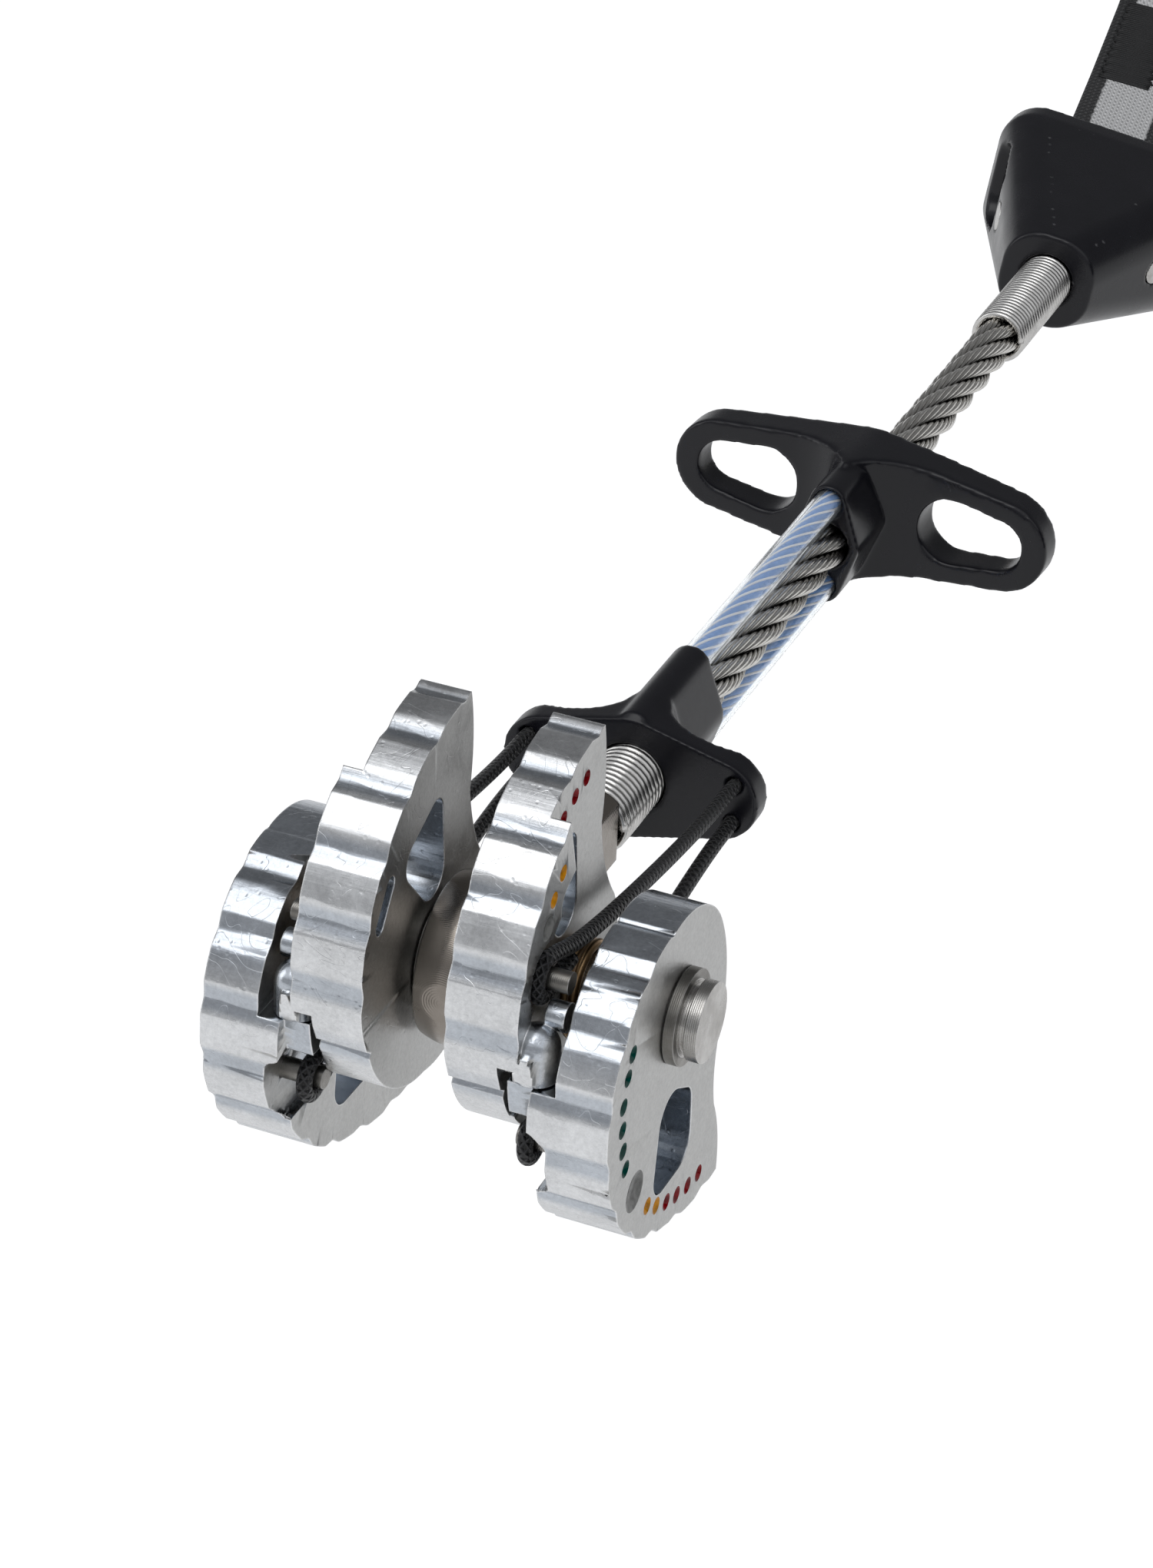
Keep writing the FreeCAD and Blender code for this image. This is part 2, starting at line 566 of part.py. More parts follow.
trigger_back = "trigger_front + trigger_boss + trigger_thick"
bar_outline = outline("trigger_outline", [[
    ("trigger_half - trigger_end", "0", "trigger_end"), ("0", "0.4", "trigger_hump - 0.4"),
    ("-trigger_half + trigger_end", "0", "trigger_end"), ("0", "-0.4", "trigger_hump - 0.4")]],
    BACK_VIEW, ("0", "trigger_front", "0"))
bar_block = extrude("trigger_bar", bar_outline, (0, 1, 0), "trigger_boss + trigger_thick")


def trigger_plan():
    """Plan of the bar: two hollows that a finger each rests in, meeting at the middle ridge."""
    front, back = value("trigger_front + trigger_boss"), value(trigger_back)
    sweep, valley, half = size("trigger_sweep"), size("trigger_valley"), size("trigger_half") + 1
    radius = (sweep ** 2 + valley ** 2) / (2 * valley)
    turn = math.asin(sweep / radius) / 2
    middle = (sweep - radius * math.sin(turn), front - radius + radius * math.cos(turn))
    return both_ways([(0, front - valley), (middle, (sweep, front)), (half, front),
                      (half, back - 1.2), ((half / 2, back - 0.3), (0, back))])


trigger_bar = common("trigger_shaped", [
    bar_block, plan_block("trigger", trigger_plan(), 40)])
slots = []
for hand, way in SIDES.items():
    ends = [("%d * ( slot_centre - slot_half + slot_rad )" % way, "0", "slot_rad"),
            ("%d * ( slot_centre + slot_half - slot_end )" % way, "0", "slot_end")]
    slots.append(extrude("slot_" + hand, outline("slot_outline_" + hand, [ends], BACK_VIEW,
                                                 ("0", "trigger_front", "0")),
                         (0, 1, 0), "trigger_boss + trigger_thick + 1"))
wings = cut("trigger_wings", trigger_bar, fuse("trigger_slots", slots))
pivot, tilt = Vector(0, value("trigger_front + trigger_boss"), 0), size("trigger_tilt")
turned = Rotation(Vector(0, 1, 0), size("trigger_roll")) * Rotation(Vector(0, 0, 1), -tilt)
wings.Placement = Placement(pivot - turned.multVec(pivot), turned)
trigger_cuts = [cylinder("trigger_way", "cable_dia / 2 + run_gap",
                         "trigger_boss + trigger_thick + 2", "y", y="trigger_front - 1")]
for sign, word in ((1, "upper"), (-1, "lower")):
    trigger_cuts.append(cylinder("trigger_socket_" + word, "tube_dia / 2", "socket_depth + 1",
                                 "y", y="trigger_front - 1", z="%d * link_offset" % sign))
named(cut("trigger_bored", fuse("trigger_solid", [
    wings, housing("trigger_housing", "trigger_front", trigger_back + " - 1.5")]),
    fuse("trigger_cuts", trigger_cuts)), "trigger")

for sign, word in ((1, "upper"), (-1, "lower")):
    place = {"y": yoke_back + " - socket_depth", "z": "%d * link_offset" % sign}
    length = "trigger_front + 2 * socket_depth - yoke_front - yoke_length"
    named(cut("tube_" + word, cylinder("tube_skin_" + word, "tube_dia / 2", length, "y", **place),
              cylinder("tube_way_" + word, "tube_dia / 2 - tube_wall", length, "y", **place)),
          "link_sleeve_" + word)
    named(cylinder("link_core_" + word, "link_dia / 2", length, "y", **place),
          "link_cable_" + word)

# ---------------------------------------------------------------- thumb piece and sling
def polygon(name, ends, rotation):
    """Sketch of straight lines through corners, each of them two expressions."""
    sketch = doc.addObject("Sketcher::SketchObject", name)
    sketch.Placement = Placement(Vector(), rotation)
    corners = [Vector(value(x), value(y), 0) for x, y in ends]
    for i in range(len(ends)):
        sketch.addGeometry(Part.LineSegment(corners[i], corners[(i + 1) % len(ends)]), False)
    for i in range(len(ends)):
        sketch.addConstraint(Sketcher.Constraint("Coincident", i, 2, (i + 1) % len(ends), 1))
        for kind, expression, number in zip(("DistanceX", "DistanceY"), ends[i], corners[i]):
            index = sketch.addConstraint(Sketcher.Constraint(kind, -1, 1, i, 1, number))
            sketch.setExpression("Constraints[%d]" % index, local(expression))
    return sketch


def wedge(name, front, near, back, far):
    """Flare between two rectangles: what its plan and its side view, both extruded, share.

    A rectangle is half its width, its rise above the stem and its drop below it.
    """
    plan = polygon(name + "_plan", [
        (near[0], front), (far[0], back), ("-1 * ( %s )" % far[0], back),
        ("-1 * ( %s )" % near[0], front)], Rotation())
    side_view = polygon(name + "_side", [
        (front, "-1 * ( %s )" % near[2]), (back, "-1 * ( %s )" % far[2]), (back, far[1]),
        (front, near[1])], SIDE_VIEW)
    reach = "2 * thumb_half"
    return common(name + "_flare", [extrude(name + "_tall", plan, (0, 0, 1), reach, reach),
                                    extrude(name + "_wide", side_view, (1, 0, 0), reach, reach)])


def rounded_horn(name, flare, radius, rim):
    """A flare with its four corners rounded, and a straight rim behind it."""
    doc.recompute()
    eased = doc.addObject("Part::Fillet", name + "_eased")
    eased.Base = flare
    eased.Edges = [(i + 1, radius, radius) for i, edge in enumerate(flare.Shape.Edges)
                   if abs(edge.tangentAt(edge.FirstParameter).y) > 0.5]
    doc.recompute()
    back = max(eased.Shape.Faces, key=lambda face: face.CenterOfMass.y)
    rim = extrude(name + "_rim", solid(name + "_back", back), (0, 1, 0), rim)
    return fuse(name + "_horn", [eased, rim])


rim_front = "thumb_front + horn_length"
thumb_back = rim_front + " + rim_length"
pin_place = thumb_back + " - pin_setback"
throat_front = cable_end
near_half, near_rise = "( thumb_collar + 0.7 )", "( thumb_collar + 0.9 )"


def throat_size(far, near):
    """Half-size of the hollow where it starts, 4 mm behind the flare's front."""
    return "%s + ( %s - %s ) * 4 / horn_length - thumb_wall" % (near, far, near)


thumb_flare = wedge("thumb", "thumb_front", (near_half, near_rise, near_rise),
                    rim_front, ("thumb_half", "thumb_rise", "thumb_drop"))
body = rounded_horn("thumb", thumb_flare, size("thumb_corner"), "rim_length")
throat_flare = wedge(
    "throat", throat_front,
    (throat_size("thumb_half", near_half), throat_size("thumb_rise", near_rise),
     throat_size("thumb_drop", near_rise)),
    rim_front, ("thumb_half - thumb_wall", "thumb_rise - thumb_wall", "thumb_drop - thumb_wall"))
throat = rounded_horn("throat", throat_flare, value("thumb_corner - thumb_wall + 0.2"),
                      "rim_length + 0.01")
middle = thumb_back + " - window_setback"
window_outline = outline("window_outline", [[
    (middle + " - 0.4", "-1.6", "window_rad - 0.6"), (middle + " + 3.2", "-2.1", "window_rad"),
    (middle + " + 3.2", "2.1", "window_rad"), (middle + " - 0.4", "1.6", "window_rad - 0.6")]],
    SIDE_VIEW, ("-2 * thumb_half", "0", "0"))
windows = extrude("thumb_windows", window_outline, (1, 0, 0), "4 * thumb_half")
cable_seat = cylinder("thumb_cable_seat", "cable_dia / 2", "4.01", "y", y="thumb_front")
coil_seat = cylinder("thumb_coil_seat", "ferrule_dia / 2", "1.01", "y", y="thumb_front - 0.01")
pin_hole = cylinder("thumb_pin_hole", "sling_pin / 2", "4 * thumb_half", x="-2 * thumb_half",
                    y=pin_place)
thumb_piece = cut("thumb_cut", body, fuse("thumb_cuts", [
    throat, windows, cable_seat, coil_seat, pin_hole]))
sling_pin = common("sling_pin_trimmed", [
    cylinder("sling_pin_rod", "sling_pin / 2", "4 * thumb_half", x="-2 * thumb_half",
             y=pin_place), solid("thumb_outside", body.Shape)])
rolled = Rotation(Vector(0, 1, 0), size("thumb_roll"))
for thing, label in ((thumb_piece, "thumb_piece"), (sling_pin, "sling_pin")):
    thing.Placement = Placement(Vector(), rolled)
    named(thing, label)

# the webbing goes round the pin, is stitched to itself, and ends in a loop for a carabiner
room = "web_width / 2 * %.4f + 0.15" % math.sin(math.radians(size("sling_swing")))
eye = ("0", "0", "sling_pin / 2 + web_thick + " + room)
tack = ("tack_start", "0", "web_thick")
tack_far = ("tack_start + tack_length", "0", "web_thick")
bow = ("( tack_start + tack_length + sling_length ) / 2", "0", "sling_bow")
turn = ("sling_length - sling_turn", "0", "sling_turn")


def inset(circle):
    """The same circle, smaller by the webbing's thickness."""
    return (circle[0], circle[1], circle[2] + " - web_thick")


def web(name, circles, inner):
    shape = outline(name + "_outline", [circles, inner], SIDE_VIEW, ("-web_width / 2", "0", "0"))
    return extrude(name, shape, (1, 0, 0), "web_width")


near_loop = web("near_loop", [eye, tack], [inset(eye), ("tack_start - 3", "0", "0.15")])
far_loop = web("far_loop", [tack_far, bow, turn, (bow[0], "0.01", bow[2])],
               [(tack_far[0] + " + 3", "0", "0.15"), inset(bow), inset(turn),
                (bow[0], "0.01", bow[2] + " - web_thick")])
tacked = box("tacked", ("-web_width / 2", tack[0], "-web_thick"),
             ("web_width / 2", tack_far[0], "web_thick"))
sling = fuse("sling_band", [near_loop, far_loop, tacked])
sling.Placement = Placement(Vector(0, value(pin_place), 0),
                            rolled * Rotation(Vector(0, 0, 1), size("sling_swing"))
                            * Rotation(Vector(1, 0, 0), size("sling_rise")))
named(sling, "sling")

# ---------------------------------------------------------------- pull cords
def route(rise, pin):
    """Route of one pull cord in an upright plane: runs and arcs, each tangent to the next.

    It is a list of corners, each a point in Y and Z with the radius of its arc. The last part
    is the wrap round the pin: the two legs touch it from one throat point in line with it.
    """
    sign = 1 if rise > 0 else -1
    wrap = size("pin_dia") / 2 + size("cord_dia") / 2 + 0.1
    corner = size("cord_corner")
    back = value("yoke_front + yoke_thick") - 0.2 + corner
    bend = Vector(0, size("cord_bend"), rise)
    centre = Vector(0, *pin)
    toward = (bend - centre).normalize()
    throat = centre + toward * size("cord_throat")
    half = math.asin(wrap / size("cord_throat"))
    away = Rotation(Vector(1, 0, 0), math.degrees(math.pi / 2 - half))
    first, second = ((away if way > 0 else away.inverted()).multVec(toward) * wrap
                     for way in (sign, -sign))
    return ([Vector(0, back, sign * 0.03), Vector(0, back, rise), bend, throat,
             centre + first], [None, corner, 30, 7], centre, first, second, wrap)


def cord(hand, rise, pin):
    """One pull cord, closed to a teardrop eye round its pin, out of straight and bent pieces."""
    radius = size("cord_dia") / 2
    corners, radii, centre, first, second, wrap = route(rise, pin)
    lane = Vector(size("hole_span") * SIDES[hand], 0, 0)
    pieces, length, start = [], 0, corners[0]

    def run(a, b):
        pieces.append(Part.makeCylinder(radius, (b - a).Length, a + lane, b - a))

    def bent(start, heading, hub, angle):
        disc = Part.Face(Part.Wire(Part.makeCircle(radius, start + lane, heading)))
        axis = (start - hub).cross(heading)
        pieces.append(disc.revolve(hub + lane, axis, math.degrees(angle)))

    for i in range(1, len(corners) - 1):
        before = (corners[i - 1] - corners[i]).normalize()
        after = (corners[i + 1] - corners[i]).normalize()
        opening = before.getAngle(after)
        setback = radii[i] / math.tan(opening / 2)
        enter, leave = corners[i] + before * setback, corners[i] + after * setback
        hub = corners[i] + (before + after).normalize() * (radii[i] / math.sin(opening / 2))
        run(start, enter)
        bent(enter, -before, hub, math.pi - opening)
        length += (enter - start).Length + radii[i] * (math.pi - opening)
        start = leave
    run(start, corners[-1])
    around = 2 * math.pi - first.getAngle(second)
    bent(corners[-1], corners[-1] - start, centre, around)
    leg = math.sqrt(size("cord_throat") ** 2 - wrap ** 2)
    heading = (corners[3] - (centre + second)).normalize()
    tail = centre + second + heading * (leg - 2.4)
    run(centre + second, tail)
    length += (corners[-1] - start).Length + wrap * around + leg - 2.4
    print("cord %s length %.1f mm, turn radius %.2f mm" % (hand, length, wrap))
    return pieces[0].multiFuse(pieces[1:]).removeSplitter()


for word, sign, pin in (("inner", 1, (-size("pin_inner_reach"), size("pin_inner_rise"))),
                        ("outer", -1, (-size("pin_outer_reach"), -size("pin_outer_drop")))):
    for hand in SIDES:
        named(solid("cord_solid_%s_%s" % (word, hand), cord(hand, sign * size("hole_rise"), pin)),
              "cord_%s_%s" % (word, hand))

# ---------------------------------------------------------------- checks and export
doc.recompute()
for thing in doc.Objects:
    if "Invalid" in thing.State or "Error" in thing.State:
        raise RuntimeError("%s failed: %s" % (thing.Name, thing.State))
for thing in PARTS:
    shape = thing.Shape
    if shape.isNull() or not shape.isValid() or shape.Volume <= 0:
        raise RuntimeError("%s has no valid solid" % thing.Label)
    print("%-20s %9.1f mm3 solids %d" % (thing.Label, shape.Volume, len(shape.Solids)))
    shape.exportStep("parts/%s.step" % thing.Label)
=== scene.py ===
import math
import bmesh
import bpy
import numpy as np
from mathutils import Matrix, Vector


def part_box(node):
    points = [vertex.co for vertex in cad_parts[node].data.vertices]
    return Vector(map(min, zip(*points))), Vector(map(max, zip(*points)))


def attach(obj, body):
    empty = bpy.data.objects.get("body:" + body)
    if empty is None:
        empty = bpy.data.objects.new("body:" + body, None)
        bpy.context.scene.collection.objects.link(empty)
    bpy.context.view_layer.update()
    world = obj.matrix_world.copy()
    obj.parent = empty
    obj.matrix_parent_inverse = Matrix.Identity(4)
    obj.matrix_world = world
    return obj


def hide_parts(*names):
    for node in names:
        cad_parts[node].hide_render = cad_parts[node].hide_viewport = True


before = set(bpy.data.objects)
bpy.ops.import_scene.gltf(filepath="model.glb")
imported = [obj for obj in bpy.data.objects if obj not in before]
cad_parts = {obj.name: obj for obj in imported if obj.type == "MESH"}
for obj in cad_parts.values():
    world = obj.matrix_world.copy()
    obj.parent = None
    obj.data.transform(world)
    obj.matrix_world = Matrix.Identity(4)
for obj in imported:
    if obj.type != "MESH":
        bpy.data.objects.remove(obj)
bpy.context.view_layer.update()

SIDES = {"right": 1, "left": -1}        # each side's way along X
MM = 0.001

# ---------------------------------------------------------------- camera
# A long lens looks down on the lobes from the front and from a little to the right, tilted by a
# few degrees, with the stem running away to the upper right.
turn, rise, tilt = (math.radians(a) for a in (21.603, 30.747, 2.82))
back = Vector((math.sin(turn) * math.cos(rise), -math.cos(turn) * math.cos(rise), math.sin(rise)))
level = Vector((math.cos(turn), math.sin(turn), 0))
upright = back.cross(level)
right = level * math.cos(tilt) + upright * math.sin(tilt)
up = upright * math.cos(tilt) - level * math.sin(tilt)
lens = bpy.data.cameras.new("camera")
lens.lens, lens.sensor_width, lens.sensor_fit = 97.943, 36, "AUTO"
lens.clip_start, lens.clip_end = 0.01, 20
camera = bpy.data.objects.new("camera", lens)
AWAY, ASIDE, ABOVE = 335.06, 7.808, 13.792     # from the axle's middle, in millimetres
seat = (back * AWAY + right * ASIDE + up * ABOVE) * MM
camera.matrix_world = Matrix((
    (right.x, up.x, back.x, seat.x), (right.y, up.y, back.y, seat.y),
    (right.z, up.z, back.z, seat.z), (0, 0, 0, 1)))
bpy.context.scene.collection.objects.link(camera)
bpy.context.scene.camera = camera

# ---------------------------------------------------------------- table, surround and light
# A wide white table top under a white surround, one wide lamp over the front and one at the
# left. The metal sees a sky of pale and dark bands and a dark card that stands at the right.
bpy.context.scene.view_settings.view_transform = "Standard"


def new_material(name):
    """A material with nodes: itself, its node tree and its Principled shader."""
    finish = bpy.data.materials.new(name)
    finish.use_nodes = True
    return finish, finish.node_tree, finish.node_tree.nodes["Principled BSDF"]


def add_node(tree, kind, feeds=None, **settings):
    """One shader node: its properties, and a value or another node's socket for each input."""
    new = tree.nodes.new("ShaderNode" + kind)
    for key, setting in settings.items():
        setattr(new, key, setting)
    for key, feed in (feeds or {}).items():
        if isinstance(feed, bpy.types.NodeSocket):
            tree.links.new(feed, new.inputs[key])
        else:
            new.inputs[key].default_value = feed
    return new


def maths(tree, operation, *feeds):
    """A Math node's result; each feed is a number or another node's socket."""
    return add_node(tree, "Math", dict(enumerate(feeds)), operation=operation).outputs[0]


def spread(tree, feed, low, high, first=0.0, last=1.0):
    """A value carried over from low-high to first-last, and held at both ends."""
    return add_node(tree, "MapRange", {"Value": feed, "From Min": low, "From Max": high,
                                       "To Min": first, "To Max": last}).outputs[0]


def mixed(tree, share, one, other, mode="MIX"):
    """The colour that lies between two others at a share, or their product."""
    return add_node(tree, "Mix", {0: share, 6: one, 7: other}, data_type="RGBA",
                    blend_type=mode).outputs[2]


def seen_directly(tree):
    """One for the camera's rays and for those that pass through a clear piece, or else zero."""
    rays = add_node(tree, "LightPath").outputs
    return maths(tree, "MAXIMUM", rays["Is Camera Ray"], rays["Is Transmission Ray"])


def flat_sheet(name, middle, across, upward, finish):
    """A rectangle round a middle, from its half width and half height as vectors."""
    mesh = bpy.data.meshes.new(name)
    mesh.from_pydata([tuple(middle + across * a + upward * b)
                      for a, b in ((-1, -1), (1, -1), (1, 1), (-1, 1))], [], [(0, 1, 2, 3)])
    mesh.materials.append(finish)
    sheet = bpy.data.objects.new(name, mesh)
    bpy.context.scene.collection.objects.link(sheet)
    return sheet


TABLE_TOP, TABLE_HALF = -0.075, 6.0
TABLE_TONE, TABLE_GLOW, TABLE_SHINE = 0.78, 0.60, 0.30  # its grey; its light, seen and mirrored
paper, tree, _ = new_material("white_paper")
tree.nodes.clear()
mirrored = add_node(tree, "LightPath").outputs["Is Glossy Ray"]
shine = maths(tree, "MULTIPLY", mirrored, TABLE_SHINE)
lift = maths(tree, "MULTIPLY_ADD", seen_directly(tree), TABLE_GLOW, shine)
matt = add_node(tree, "BsdfDiffuse", {"Color": (TABLE_TONE, TABLE_TONE, TABLE_TONE, 1)})
glow = add_node(tree, "Emission", {"Color": (1, 1, 1, 1), "Strength": lift})
both = add_node(tree, "AddShader", {0: matt.outputs[0], 1: glow.outputs[0]})
add_node(tree, "OutputMaterial", {"Surface": both.outputs[0]})
flat_sheet("table", Vector((0, 0, TABLE_TOP)), Vector((TABLE_HALF, 0, 0)),
           Vector((0, TABLE_HALF, 0)), paper)

world = bpy.data.worlds.new("studio")
bpy.context.scene.world = world
world.use_nodes = True
tree = world.node_tree
tree.nodes.clear()
way = add_node(tree, "SeparateXYZ", {0: add_node(tree, "TexCoord").outputs["Generated"]}).outputs
arch = maths(tree, "ARCTAN2", way["Z"], maths(tree, "MULTIPLY", way["Y"], -1.0))
ramp = add_node(tree, "ValToRGB", {"Fac": spread(tree, arch, -math.pi, math.pi)})
# degrees up from the front horizon and over the top, and the shade there, a little bluish
for degrees, shade in ((-180, 0.35), (-90, 0.80), (-14, 0.80), (-4, 0.40), (28, 0.38), (38, 0.75),
                       (92, 0.75), (106, 0.26), (116, 0.16), (164, 0.16), (176, 0.45),
                       (180, 0.60)):
    at = degrees / 360 + 0.5
    stop = ramp.color_ramp.elements.new(at) if 0 < at < 1 else ramp.color_ramp.elements[int(at)]
    stop.color = (shade * 0.985, shade, shade * 1.03, 1)
sky = mixed(tree, seen_directly(tree), ramp.outputs[0], (1, 1, 1, 1))
add_node(tree, "OutputWorld", {"Surface": add_node(tree, "Background", {
    "Color": sky, "Strength": 1.0}).outputs[0]})

# a lamp's place and what it looks at, its width and height in metres, and its watts
for name, place, aim, wide, power in (
        ("lamp_over", (-0.17, -0.42, 0.93), (0, 0.02, 0), (0.62, 0.66), 2.0),
        ("lamp_left", (-0.95, -0.25, 0.30), (0, 0.03, 0), (0.35, 0.60), 0.8)):
    lamp = bpy.data.lights.new(name, "AREA")
    lamp.shape, lamp.size, lamp.size_y, lamp.energy = "RECTANGLE", wide[0], wide[1], power
    holder = bpy.data.objects.new(name, lamp)
    holder.location = place
    holder.rotation_euler = (Vector(place) - Vector(aim)).to_track_quat("Z", "Y").to_euler()
    bpy.context.scene.collection.objects.link(holder)

card_black, tree, shader = new_material("black_card")
shader.inputs["Base Color"].default_value = (0.01, 0.01, 0.01, 1)
shader.inputs["Roughness"].default_value = 0.9
CARD_AT, CARD_HALF_WIDE, CARD_HALF_HIGH = Vector((0.55, 0.05, 0.05)), 0.25, 0.175
facing = -CARD_AT.normalized()
across = facing.cross(Vector((0, 0, 1))).normalized()
card = flat_sheet("card_right", CARD_AT, across * CARD_HALF_WIDE,
                  across.cross(facing) * CARD_HALF_HIGH, card_black)
card.visible_camera = card.visible_shadow = card.visible_diffuse = False

# ---------------------------------------------------------------- outer and inner lobes
# Four cams of aluminium plate, milled all round, tumbled, then milled again across the toothed
# tread. Shallow dimples drilled in their faces are filled with paint as range marks.


def whole_copy(name, node):
    """A CAD node's mesh as a new object, with its loose triangles joined at their corners."""
    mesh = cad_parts[node].data.copy()
    mesh.name = name
    mesh.materials.clear()
    work = bmesh.new()
    work.from_mesh(mesh)
    bmesh.ops.remove_doubles(work, verts=work.verts, dist=1e-6)
    work.to_mesh(mesh)
    work.free()
    piece = bpy.data.objects.new(name, mesh)
    bpy.context.scene.collection.objects.link(piece)
    return piece


def finished_mesh(piece):
    """Bakes a piece's modifiers into its mesh."""
    new = bpy.data.meshes.new_from_object(
        piece.evaluated_get(bpy.context.evaluated_depsgraph_get()))
    piece.modifiers.clear()
    old, piece.data = piece.data, new
    bpy.data.meshes.remove(old)


def shade_to(mesh, angle):
    """Shades a mesh smooth, apart from the edges that turn by more than an angle in degrees."""
    mesh.shade_smooth()
    mesh.set_sharp_from_angle(angle=math.radians(angle))


TREAD_AT = 20.1         # the tread's radius at 270 degrees, in millimetres
HEEL_AT = 13.64         # and at 180 degrees
SPIRAL, HEEL, TIP = 0.2467, 0.31, 0.43      # the growths above 180, below it, and past 270
TOOTH, TOOTH_DEEP = 5.6, 0.42       # a tooth's length along the tread and its valley's depth
LAND_END, VALLEY_END = 0.46, 0.75   # as shares of the tooth, from its corner
TREAD_DEEP = 0.72       # how far under the spiral a point still belongs to the tread


def tread_radius(angle, flare):
    """Radius of a lobe's tread, in millimetres, at an angle from +Y towards the lobe's tip.

    It is 20.1 at 270 degrees and grows by exp(0.2467 x radians); below 180 degrees by exp(0.31 x
    radians), and past 270 degrees, on an outer lobe, by exp(0.43 x radians).
    """
    main = TREAD_AT * np.exp(SPIRAL * np.radians(np.maximum(angle, 180) - 270))
    heel = np.exp(HEEL * np.radians(np.minimum(angle, 180) - 180))
    tip = np.exp((TIP - SPIRAL) * np.radians(np.maximum(angle, 270) - 270)) if flare else 1.0
    return main * heel * tip


def tread_reach(angle):
    """Millimetres along the tread from 180 degrees: (radius - 13.64) x sqrt(1 + g x g) / g,
    with the growth g 0.2467 above 180 degrees and 0.31 below."""
    growth = np.where(angle < 180, HEEL, SPIRAL)
    return (tread_radius(angle, False) - HEEL_AT) * np.hypot(1, growth) / growth


def tread_angle(reach):
    """The angle that lies so far along the tread: the inverse of tread_reach."""
    growth = HEEL if reach < 0 else SPIRAL
    share = reach * growth / math.hypot(1, growth) / HEEL_AT
    return 180 + math.degrees(math.log(1 + share) / growth)


def worn_teeth(piece, sign, first, last, corner, flare):
    """Recuts the tread of a lobe's copy finely, and gives each tooth its tumbled, wavy form.

    A tooth takes 5.6 mm of the tread from its crisp corner on the tip's side. Its land follows
    the spiral for 0.46 of that, sinks 0.42 mm by a smooth step until 0.75, and climbs to the
    next corner by a power of 1.15. The teeth fade out over two degrees at the tread's ends.
    """
    work = bmesh.new()
    work.from_mesh(piece.data)
    bmesh.ops.triangulate(work, faces=work.faces)

    def polar(verts):
        found = np.array([v.co for v in verts]) / MM
        angle = np.degrees(np.arctan2(found[:, 2] * sign, found[:, 1])) % 360
        return np.hypot(found[:, 1], found[:, 2]), angle

    def on_tread(radius, angle):
        return (angle > first + 0.2) & (angle < last - 0.2) & (
            radius > tread_radius(angle, flare) - TREAD_DEEP)

    steps = (0, 0.02, 0.05, 0.2, 0.36, 0.46, 0.5, 0.55, 0.61, 0.67, 0.71, 0.75, 0.8, 0.87, 0.94,
             0.98)
    for tooth in range(-4, 8):      # more than enough to pass both ends of the tread
        for share in steps:
            a = tread_angle(tread_reach(corner) + TOOTH * (tooth - share))
            if not first + 0.5 < a < last - 0.5:
                continue
            radius, angle = polar(work.verts)
            near = on_tread(radius, angle) & (np.abs(angle - a) < 16)   # a cut's own stretch
            verts = [v for v, keep in zip(work.verts, near) if keep]
            faces = {f for v in verts for f in v.link_faces}
            edges = {e for f in faces for e in f.edges}
            verts = {v for f in faces for v in f.verts}
            t = math.radians(a)
            bmesh.ops.bisect_plane(
                work, geom=[*verts, *edges, *faces], dist=1e-6, plane_co=(0, 0, 0),
                plane_no=(0, -math.sin(t), sign * math.cos(t)))
    radius, angle = polar(work.verts)
    phase = (tread_reach(corner) - tread_reach(angle)) / TOOTH % 1
    ease = np.clip((phase - LAND_END) / (VALLEY_END - LAND_END), 0, 1)
    climb = np.clip(phase - VALLEY_END, 0, 1) / (1 - VALLEY_END)
    depth = TOOTH_DEEP * np.where(phase < VALLEY_END, ease * ease * (3 - 2 * ease),
                                  1 - climb ** 1.15)
    depth *= np.clip((angle - first - 1) / 2, 0, 1) * np.clip((last - 1 - angle) / 2, 0, 1)
    scale = np.where(on_tread(radius, angle),
                     (tread_radius(angle, flare) - depth) / np.maximum(radius, 1), 1)
    work.to_mesh(piece.data)
    work.free()
    spots = np.empty((len(scale), 3))
    piece.data.vertices.foreach_get("co", spots.ravel())
    spots[:, 1:] *= scale[:, None]
    piece.data.vertices.foreach_set("co", spots.ravel())
    piece.data.update()


def noise(tree, spots, scale, detail, roughness=0.5, distortion=0.0):
    """Cloudy noise from 0 to 1: scale clouds to the unit, with detail layers of finer ones."""
    return add_node(tree, "TexNoise", {
        "Vector": spots, "Scale": scale, "Detail": detail, "Roughness": roughness,
        "Distortion": distortion}).outputs[0]


def node_group(name, inputs, output):
    """An empty group: itself, the sockets of its inputs and the socket of its one output."""
    group = bpy.data.node_groups.new(name, "ShaderNodeTree")
    for key, first in inputs.items():
        kind = "NodeSocketVector" if isinstance(first, tuple) else "NodeSocketFloat"
        group.interface.new_socket(key, in_out="INPUT", socket_type=kind).default_value = first
    group.interface.new_socket(output, in_out="OUTPUT", socket_type="NodeSocketFloat")
    given = group.nodes.new("NodeGroupInput").outputs
    return group, given, group.nodes.new("NodeGroupOutput").inputs[output]


